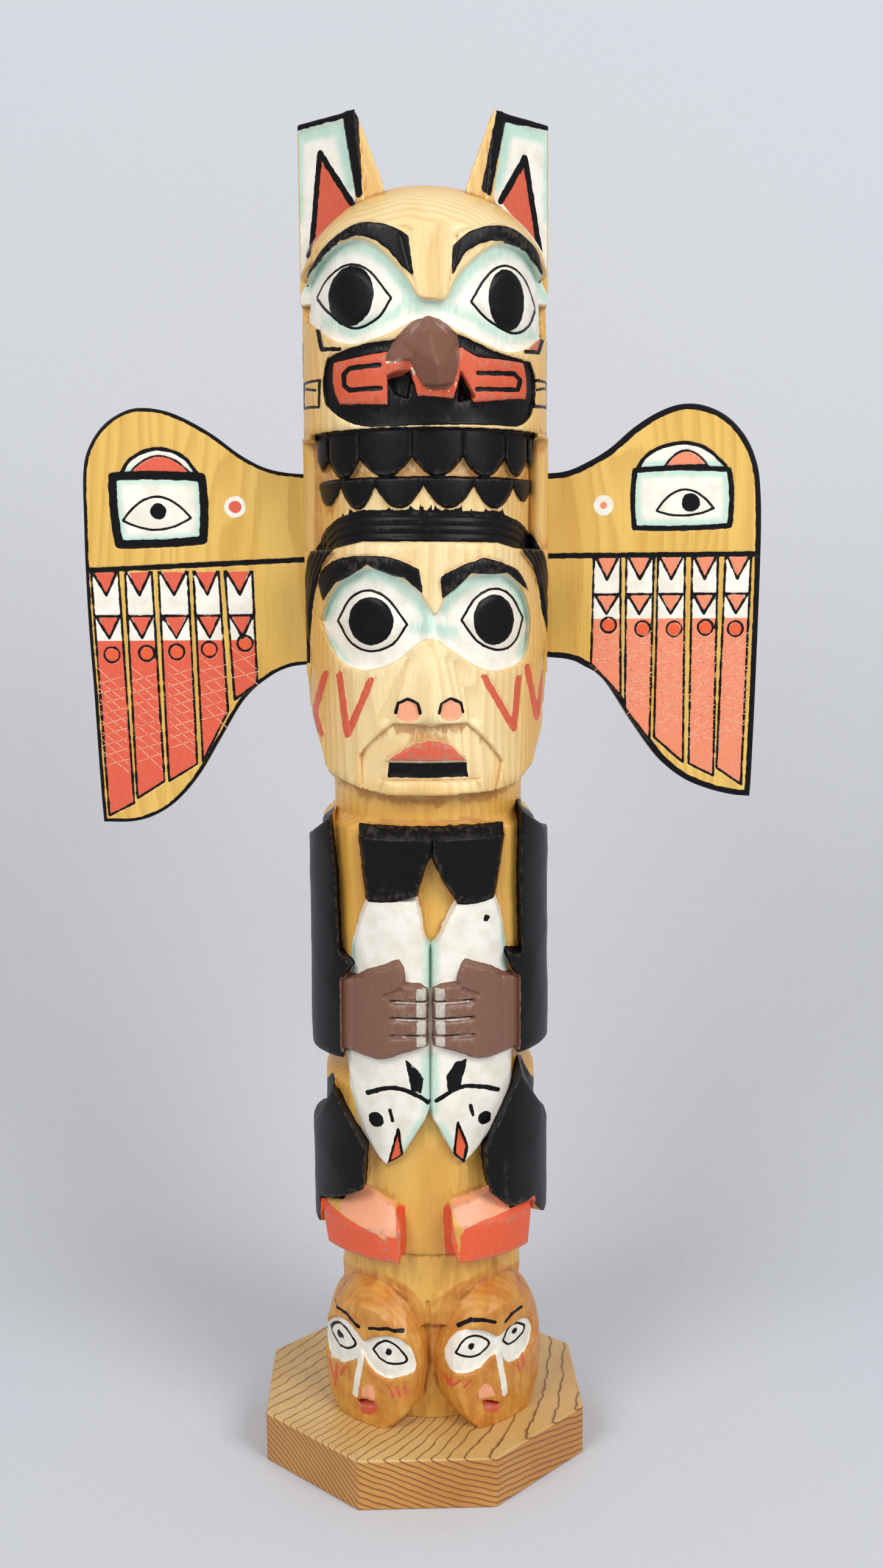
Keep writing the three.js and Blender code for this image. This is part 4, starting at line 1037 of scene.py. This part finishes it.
WING_FRONT, WING_BACK = [v / MM for v in (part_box("wing_left")[0][1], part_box("wing_left")[1][1])]
FEATHER_TOP = 385
WING_PLANS = {
    "wing_left": {
        "edge": [
            [(-46.5, 430.5), (-60, 431.5), (-70, 434), (-80, 439.5), (-90, 447), (-100, 453), (-110, 457.3),
             (-120, 458.9), (-128, 457.6), (-137, 452), (-143.5, 443), (-146.4, 432), (-146.8, 410),
             (-146.8, 391),
             (-146.2, 365), (-145, 340), (-143.5, 300), (-142.5, 280.8)],
            [(-130, 280.8), (-120, 283.5), (-110, 290), (-100, 301.5), (-90, 318), (-80, 334), (-70, 343),
             (-60, 348),
             (-46.5, 349.6)],
        ],
        "border": 3.2,
        "cross": [(-148, 390.2), (-52.8, 394.4)],
        "columns": [
            (-144.3, -132.6, (-140, 283.5), (-129, 289)), (-129.8, -118.3, (-127.5, 291), (-115.5, 298.5)),
            (-115.5, -102.9, (-113.5, 298.5), (-101, 306)), (-100.5, -89.5, (-98.5, 307), (-87, 329)),
            (-86.8, -75.1, (-84, 334), (-74, 341)),
        ],
        "levels": (389.5, 379.5, 370.6, 361, 360),
        "circles": [(-136.6, 354), (-121.6, 354.5), (-108.6, 355), (-94.5, 356), (-79, 358.5)],
        "frame": [(-134, 430, 0.8), (-96, 429.5, 0.8), (-96, 403, 0.6), (-132, 401.5, 0.8)],
        "frame_line": 3.7,
        "lens": [(-130, 411.5, 9.5), (-101, 412.5, 4.5)],
        "pupil": (-114.8, 415.3, 7.0),
        "brow": [(-131, 429.5), (-127, 436.5), (-120, 440.6), (-113, 441.6), (-104, 438.5), (-97, 430)],
        "crescent": [(-127.5, 430.5, 8), (-100.5, 431)],
        "dot": (-82, 417, 9.2, 5.5),
        "scratches": [(-137.5, 343, -136, 307), (-123, 344, -121.5, 309), (-107.5, 346, -107, 315),
                      (-93, 348, -93, 327), (-79.5, 352, -79, 345)],
    },
    "wing_right": {
        "edge": [
            [(46.5, 430.5), (60, 431.5), (70, 435.5), (80, 441.5), (90, 450), (100, 456.3), (110, 459.8),
             (120, 459.4),
             (130, 455), (138, 447), (143, 437), (145.3, 425), (146, 400), (144.8, 340), (143.6, 300),
             (143, 289.2)],
            [(135, 290), (125, 292.5), (115, 296.5), (107, 302), (100, 309), (90, 323), (80, 338.5),
             (75, 344),
             (70, 347), (62, 350.5), (46.5, 352)],
        ],
        "border": 5.2,
        "cross": [(148, 395.8), (52.8, 395.4)],
        "columns": [
            (72.75, 84.6, (72, 348.5), (85, 334.5)), (87.1, 99, (87, 329), (98, 314.5)),
            (100.9, 112.75, (100, 316), (113, 304.5)), (115.9, 127.1, (115.5, 304), (126.5, 298.5)),
            (130.25, 141.5, (128, 302), (139, 294.5)),
        ],
        "levels": (395, 385, 378.6, 370, 368),
        "circles": [(79.5, 365.3), (94.5, 363.6), (108.4, 363.4), (122.1, 364), (135.3, 363.3)],
        "frame": [(90.5, 431.8, 0.8), (131.5, 432, 1), (132, 408, 0.6), (90.5, 407.2, 0.8)],
        "frame_line": 2.3,
        "lens": [(100, 414.5, 8.6), (125, 415.5, 2.6)],
        "pupil": (115, 418, 8.0),
        "brow": [(91, 431.5), (96, 438.5), (104, 442.2), (113, 443.4), (122, 440.6), (130, 433.5)],
        "crescent": [(103.5, 433.5, 6.5), (122, 434)],
        "dot": (77, 417, 8.8, 3.0),
        "scratches": [(78.5, 359, 79, 350), (93, 358, 93, 331), (107, 357.5, 107, 321),
                      (121.5, 358, 121, 316),
                      (135.5, 357, 134.5, 318)],
    },
}


def wing_drawing(plan, edge):
    drawn = {kind: [] for kind in KINDS}

    def fill(kind, points):
        drawn[kind].append((np.array(points, float), True, 0))

    def brush(points, width, kind="stroke", closed=False):
        points = np.array(points, float)
        drawn[kind].append((np.concatenate([points, points[:1]]) if closed else points, False, width / 2))

    top, apex, middle, low_apex, red_top = plan["levels"]
    brush(edge[:-1], plan["border"], "black")
    brush(plan["cross"], 2.3)
    for (left, right, foot_left, foot_right), ring in zip(plan["columns"], plan["circles"]):
        def at(share, z):
            span = (FEATHER_TOP - z) / (FEATHER_TOP - np.array([foot_left[1], foot_right[1]]))
            xs = np.array([left, right]) + (np.array([foot_left[0], foot_right[0]]) - (left, right)) * span
            return (xs[0] + share * (xs[1] - xs[0]), z)
        fill("white", [at(0, top), at(1, top), at(1, red_top), at(0, red_top)])
        fill("red", [at(0, red_top), at(1, red_top), foot_right, foot_left])
        for z0, z1 in ((top, apex), (middle, low_apex)):
            fill("red", [at(0.12, z0), at(0.88, z0), at(0.5, z1)])
            brush([at(0.06, z0), at(0.5, z1), at(0.94, z0)], 1.1)
        brush([at(0, middle), at(1, middle)], 1.1)
        brush([at(0, top), foot_left, foot_right, at(1, top)], 1.0)
        fill("orange", disc(*ring, 5.4))
        brush(disc(*ring, 6.6), 0.95, closed=True)
    frame = outline(plan["frame"])
    fill("white", frame)
    brush(frame, 7, "teal", closed=True)
    brush(frame, plan["frame_line"], closed=True)
    lens = outline(plan["lens"])
    fill("lens", lens)
    brush(lens, 0.7, closed=True)
    fill("black", disc(*plan["pupil"]))
    brow = flowing(plan["brow"], 2)
    fill("white", brow)
    brush(brow, 1.7)
    crescent = outline(plan["crescent"])
    fill("red", crescent)
    brush(crescent, 0.9, closed=True)
    x, z, wide, small = plan["dot"]
    fill("white", disc(x, z, wide))
    fill("red", disc(x, z, small))
    return drawn


def slab(name, edge, front, back, bevel):
    """A board with this outline, its long edges eased."""
    mesh = bmesh.new()
    ring = [mesh.verts.new((px * MM, front * MM, pz * MM)) for px, pz in edge]
    face = mesh.faces.new(ring)
    moved = bmesh.ops.extrude_face_region(mesh, geom=[face])["geom"]
    far = [v for v in moved if isinstance(v, bmesh.types.BMVert)]
    bmesh.ops.translate(mesh, vec=(0, (back - front) * MM, 0), verts=far)
    bmesh.ops.recalc_face_normals(mesh, faces=mesh.faces)
    rim = [e for e in mesh.edges if len({round(v.co.y, 6) for v in e.verts}) == 1]
    settings = {"segments": 3, "affect": "EDGES", "profile": 0.5, "clamp_overlap": True}
    bmesh.ops.bevel(mesh, geom=rim, offset=bevel * MM, **settings)
    piece = new_piece(name, [], [])
    mesh.to_mesh(piece.data)
    mesh.free()
    return piece


def wing_face(edge, drawn, size=0.6):
    """The scored face of a wing, as the front of a block that the board is cut with."""
    low, high = edge.min(axis=0) - 2, edge.max(axis=0) + 2
    xs, zs = steps(low[0], high[0], size), steps(low[1], high[1], size)
    px, pz = [v.ravel() for v in np.meshgrid(xs, zs)]
    scored = np.clip(coverage(drawn["stroke"], px, pz) + 0.35, 0, 0.6) * 0.5
    py = WING_FRONT + 0.04 + scored
    count = len(xs)
    grid = np.arange(len(px)).reshape(len(zs), count)
    quads = np.stack([grid[:-1, :-1], grid[:-1, 1:], grid[1:, 1:], grid[1:, :-1]], axis=-1)
    faces = quads.reshape(-1, 4).tolist()
    loop = np.concatenate([grid[0, :-1], grid[:-1, -1], grid[-1, :0:-1], grid[:0:-1, 0]])
    behind_loop = len(px) + np.arange(len(loop))
    walls = zip(loop, np.roll(loop, -1), behind_loop, np.roll(behind_loop, -1))
    faces += [(b, a, c, d) for a, b, c, d in walls]
    faces.append(behind_loop[::-1].tolist())
    points = np.stack([px, py, pz], axis=1)
    deep = points[loop]
    deep[:, 1] = WING_BACK + 5
    return new_piece("wing_face", np.concatenate([points, deep]), faces)


def scratch_tree():
    """Strips crossed in two directions along every edge of the mesh it is given."""
    tree = bpy.data.node_groups.new("crossed_scratches", "GeometryNodeTree")
    sockets = {}
    for kind, names in (
        ("Geometry", ["Geometry"]), ("Float", ["Spacing", "Long", "Wide", "Gentle", "Steep", "Uneven"]),
        ("Int", ["Seed"]), ("Material", ["Material"]),
    ):
        for name in names:
            socket = tree.interface.new_socket(name, in_out="INPUT", socket_type="NodeSocket" + kind)
            sockets[name] = socket.identifier
    tree.interface.new_socket("Geometry", in_out="OUTPUT", socket_type="NodeSocketGeometry")
    given = add(tree, "NodeGroupInput").outputs
    curve = add(tree, "GeometryNodeMeshToCurve", {"Mesh": given["Geometry"]}).outputs[0]
    flat = add(tree, "ShaderNodeCombineXYZ", {0: 1.0, 1: 0.0001, 2: given["Wide"]}).outputs[0]
    strip = add(tree, "GeometryNodeMeshCube", {"Size": flat}).outputs["Mesh"]
    families = []
    for offset, name in enumerate(("Gentle", "Steep")):
        values = {"Curve": curve, "Length": given["Spacing"]}
        points = add(tree, "GeometryNodeResampleCurve", values, mode="LENGTH").outputs[0]
        seed = maths(tree, "ADD", given["Seed"], 7.0 * offset)
        sway = add(tree, "FunctionNodeRandomValue", {2: -1.0, 3: 1.0, "Seed": seed}).outputs[1]
        turn = maths(tree, "MULTIPLY_ADD", sway, given["Uneven"], given[name])
        turned = add(tree, "ShaderNodeCombineXYZ", {1: turn}).outputs[0]
        reach = add(tree, "FunctionNodeRandomValue", {2: 0.9, 3: 1.08, "Seed": seed}).outputs[1]
        level = maths(tree, "MULTIPLY", reach, given["Long"])
        slanted = maths(tree, "DIVIDE", level, maths(tree, "COSINE", given[name]))
        size = add(tree, "ShaderNodeCombineXYZ", {0: slanted, 1: 1.0, 2: 1.0}).outputs[0]
        values = {"Points": points, "Instance": strip, "Rotation": turned, "Scale": size}
        families.append(add(tree, "GeometryNodeInstanceOnPoints", values).outputs[0])
    joined = add(tree, "GeometryNodeJoinGeometry")
    for family in families:
        tree.links.new(family, joined.inputs[0])
    real = add(tree, "GeometryNodeRealizeInstances", {0: joined.outputs[0]}).outputs[0]
    finished = add(tree, "GeometryNodeSetMaterial", {"Geometry": real, "Material": given["Material"]})
    add(tree, "NodeGroupOutput", {0: finished.outputs[0]})
    return tree, sockets


def scratches(name, lines, tree, sockets, settings):
    """The knife's scratches down a wing's feathers, as thin pale strips: a painted highlight for the lit edge
    of each groove scored through the red paint.
    """
    ends = [(x, WING_FRONT - 0.02, z) for x0, z0, x1, z1 in lines for x, z in ((x0, z0), (x1, z1))]
    piece = new_piece(name, ends, [])
    piece.data.edges.add(len(lines))
    piece.data.edges.foreach_set("vertices", list(range(2 * len(lines))))
    modifier = piece.modifiers.new("scratches", "NODES")
    modifier.node_group = tree
    for key, value in settings.items():
        modifier[sockets[key]] = value
    bpy.context.view_layer.update()
    mesh = bpy.data.meshes.new_from_object(piece.evaluated_get(bpy.context.evaluated_depsgraph_get()))
    piece.modifiers.clear()
    piece.data = mesh
    return piece


# Pale salmon strips: a painted highlight for the lit edge of each scratch's groove.
scratch_highlight, tree, shader = new_material("scratch_edge_highlight")
streak = noise(tree, in_mm(tree), 1.2, (3, 1, 1), 2)
scratch_highlight_colour = mix(tree, ramp(tree, streak, 0.35, 0.6), srgb("#E08B6B"), srgb("#F2B798"))
tree.links.new(scratch_highlight_colour, shader.inputs["Base Color"])
shader.inputs["Roughness"].default_value = 0.5
SCRATCHES, SCRATCH_SOCKETS = scratch_tree()
WING_WOOD = {"pith": (0, 420), "pitch": 1.7, "pale": "#E4BC62", "deep": "#D9AB4C", "line": "#B98434",
             "strength": 0.35}
WING_REDS = {
    "wing_left": {"red": "#D9573C", "red_light": "#E26E52"},
    "wing_right": {"red": "#E58460", "red_light": "#EC9A78"},
}
for node_name, plan in WING_PLANS.items():
    upper, lower = plan["edge"]
    edge = np.concatenate([flowing(upper), flowing([upper[-1], *lower])[1:]])
    drawn = wing_drawing(plan, edge)
    wing = slab(node_name + "_board", edge, WING_FRONT, WING_BACK, 0.8)
    combined(wing, wing_face(edge, drawn), "INTERSECT")
    with_modifier(wing, "TRIANGULATE")
    co = places_of(wing)
    co[co[:, 1] > WING_BACK - 1, 0] = UNPAINTED  # the back is left bare
    paint(wing, drawn, co[:, 0], co[:, 2], hollowness(wing, 2))
    wing.data.materials.clear()
    colours = {**PAINTS, **WING_REDS[node_name]}
    wing.data.materials.append(painted_wood(node_name + "_painted_board", WING_WOOD, colours))
    for polygon in wing.data.polygons:
        polygon.material_index = 0
    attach(wing, "root")
    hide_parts(node_name)
    turn = 1 if node_name == "wing_left" else -1
    marks = scratches(node_name + "_scratches", plan["scratches"], SCRATCHES, SCRATCH_SOCKETS, {
        "Spacing": 4.4 * MM, "Long": 11 * MM, "Wide": 0.32 * MM, "Gentle": math.radians(-17 * turn),
        "Steep": math.radians(42 * turn), "Uneven": math.radians(4), "Seed": 5, "Material": scratch_highlight,
    })
    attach(marks, "root")
    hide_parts(node_name)


# ---- The base ------------------------------------------------------------------------------------
# An octagon sawn from a thick softwood board, its arrises just broken and its faces left smooth.
# Thin dark growth rings run through it, so that they match from the top over onto every edge.

base_low, base_high = [np.array(corner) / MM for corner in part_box("base")]
BASE_ACROSS = base_high[1] - base_low[1]
corner_radius = BASE_ACROSS / 2 / math.cos(math.pi / 8)
base_x = (base_low[0] + base_high[0]) / 2
octagon = [(base_x + corner_radius * math.cos(t), corner_radius * math.sin(t))
           for t in np.radians(22.5 + 45 * np.arange(8))]
mesh = bmesh.new()
ring = [mesh.verts.new((px * MM, py * MM, 0)) for px, py in octagon]
floor_face = mesh.faces.new(ring)
risen = bmesh.ops.extrude_face_region(mesh, geom=[floor_face])["geom"]
top_corners = [v for v in risen if isinstance(v, bmesh.types.BMVert)]
bmesh.ops.translate(mesh, vec=(0, 0, base_high[2] * MM), verts=top_corners)
bmesh.ops.recalc_face_normals(mesh, faces=mesh.faces)
bmesh.ops.bevel(mesh, geom=mesh.edges[:], offset=0.9 * MM, segments=3, affect="EDGES", profile=0.5)
base = new_piece("octagonal_board", [], [])
mesh.to_mesh(base.data)
mesh.free()
with_modifier(base, "TRIANGULATE")


def ringed_board(name):
    """Flat-sawn softwood with bold dark latewood, under a satin varnish."""
    material, tree, shader = new_material(name)
    place = in_mm(tree)
    split = add(tree, "ShaderNodeSeparateXYZ", {0: place})
    x, y, z = [split.outputs[axis] for axis in "XYZ"]
    # Rings run back and to the right, closest together in the middle, and slope down to the right.
    fan = maths(tree, "MULTIPLY_ADD", x, 0.0055, -0.46)
    drift = maths(tree, "MULTIPLY", noise(tree, place, 45), 9.0)
    over = maths(tree, "ADD", maths(tree, "MULTIPLY_ADD", y, fan, x), drift)
    evenly = maths(tree, "MULTIPLY", over, 0.135)
    count = maths(tree, "MULTIPLY_ADD", ramp(tree, over, -40, 55), 8.0, evenly)
    ripple = maths(tree, "MULTIPLY", noise(tree, place, 9, detail=2), 0.55)
    count = maths(tree, "ADD", maths(tree, "MULTIPLY_ADD", z, 0.36, count), ripple)
    phase = maths(tree, "FRACT", count)
    sawn_edge = ramp(tree, z, base_high[2] - 0.9, base_high[2] - 0.5, 1.0, 0.0, "LINEAR")
    start = maths(tree, "MULTIPLY_ADD", sawn_edge, -0.22, 0.78)
    late = maths(tree, "DIVIDE", maths(tree, "SUBTRACT", phase, start), maths(tree, "SUBTRACT", 0.97, start))
    late = maths(tree, "MULTIPLY", ramp(tree, late, 0.0, 1.0), ramp(tree, phase, 1.0, 0.97))
    fibre = noise(tree, place, 0.5, (1, 20, 1), 3)
    tone = noise(tree, place, 40, detail=3)
    colour = mix(tree, ramp(tree, tone, 0.3, 0.7), srgb("#D8B576"), srgb("#CCA05C"))
    colour = mix(tree, sawn_edge, colour, mix(tree, 1.0, colour, srgb("#F2CE9E"), "MULTIPLY"))
    colour = mix(tree, late, colour, srgb("#6E4220"))
    colour = mix(tree, ramp(tree, fibre, 0.5, 0.75, 0.0, 0.25), colour, srgb("#9A6A33"))
    height = maths(tree, "MULTIPLY_ADD", late, 0.6, maths(tree, "MULTIPLY", fibre, 0.5))
    bump = add(tree, "ShaderNodeBump", {"Strength": 0.4, "Distance": 0.15 * MM, "Height": height})
    tree.links.new(colour, shader.inputs["Base Color"])
    tree.links.new(maths(tree, "MULTIPLY_ADD", fibre, 0.2, 0.36), shader.inputs["Roughness"])
    tree.links.new(bump.outputs[0], shader.inputs["Normal"])
    shader.inputs["Coat Weight"].default_value = 0.2
    shader.inputs["Coat Roughness"].default_value = 0.3
    return material


base.data.materials.append(ringed_board("flat_sawn_board"))
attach(base, "root")
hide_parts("base")


# ---- Camera, floor and light ---------------------------------------------------------------------
# The object stands on a sheet of pale grey paper that sweeps up behind it, in soft light from
# a window on either side in front.

scene = bpy.context.scene
camera = bpy.data.objects.new("camera", bpy.data.cameras.new("camera"))
scene.collection.objects.link(camera)
scene.camera = camera
camera.data.sensor_width = 36
camera.data.lens = 36 * 2600 / 2576
camera.location = (-0.0156, -0.688, 0.384)
facing = Vector((0.031, 0.992, -0.126)).to_track_quat("-Z", "Y")
camera.rotation_euler = (facing @ Quaternion((0, 0, 1), math.radians(-0.36))).to_euler()
camera.data.clip_start = 0.01

SWEEP_START, SWEEP_RADIUS = 0.14, 0.3
profile = [(-1.6, 0.0), (SWEEP_START, 0.0)]
profile += [(SWEEP_START + SWEEP_RADIUS * math.sin(t), SWEEP_RADIUS * (1 - math.cos(t)))
            for t in np.radians(np.arange(5, 91, 5))]
profile.append((SWEEP_START + SWEEP_RADIUS, 2.2))
paper_places = [(px / MM, py / MM, pz / MM) for py, pz in profile for px in (-1.8, 1.8)]
paper_faces = [(2 * i, 2 * i + 1, 2 * i + 3, 2 * i + 2) for i in range(len(profile) - 1)]
paper = new_piece("paper_sweep", paper_places, paper_faces)
paper.data.shade_smooth()
material, tree, shader = new_material("pale_grey_paper")
fleck = noise(tree, in_mm(tree), 2.5, detail=2)
paper_colour = mix(tree, ramp(tree, fleck, 0.45, 0.75, 0, 0.25), srgb("#D0D2D7"), srgb("#C2C4CA"))
tree.links.new(paper_colour, shader.inputs["Base Color"])
shader.inputs["Roughness"].default_value = 0.8
# From behind, the paper lets the eye through to the object.
seen_from_behind = add(tree, "ShaderNodeNewGeometry").outputs["Backfacing"]
clear = add(tree, "ShaderNodeBsdfTransparent").outputs[0]
surface = add(tree, "ShaderNodeMixShader", {0: seen_from_behind, 1: shader.outputs[0], 2: clear}).outputs[0]
tree.links.new(surface, tree.nodes["Material Output"].inputs["Surface"])
paper.data.materials.append(material)


def lamp(name, place, aim, size, power, tint="#FFFFFF"):
    light = bpy.data.lights.new(name, "AREA")
    light.shape, light.size, light.energy, light.color = "DISK", size, power, srgb(tint)[:3]
    lit = bpy.data.objects.new(name, light)
    lit.location = place
    lit.rotation_euler = (Vector(aim) - Vector(place)).to_track_quat("-Z", "Y").to_euler()
    scene.collection.objects.link(lit)


lamp("window_left", (-0.8, -1.0, 1.1), (0, 0, 0.3), 0.8, 11)
lamp("window_right", (0.85, -1.0, 1.05), (0, 0, 0.3), 0.8, 13)
world = bpy.data.worlds.new("room")
world.use_nodes = True
sky = world.node_tree.nodes["Background"]
sky.inputs["Color"].default_value = srgb("#EDF0F4")
sky.inputs["Strength"].default_value = 0.45
scene.world = world
scene.view_settings.view_transform = "Standard"
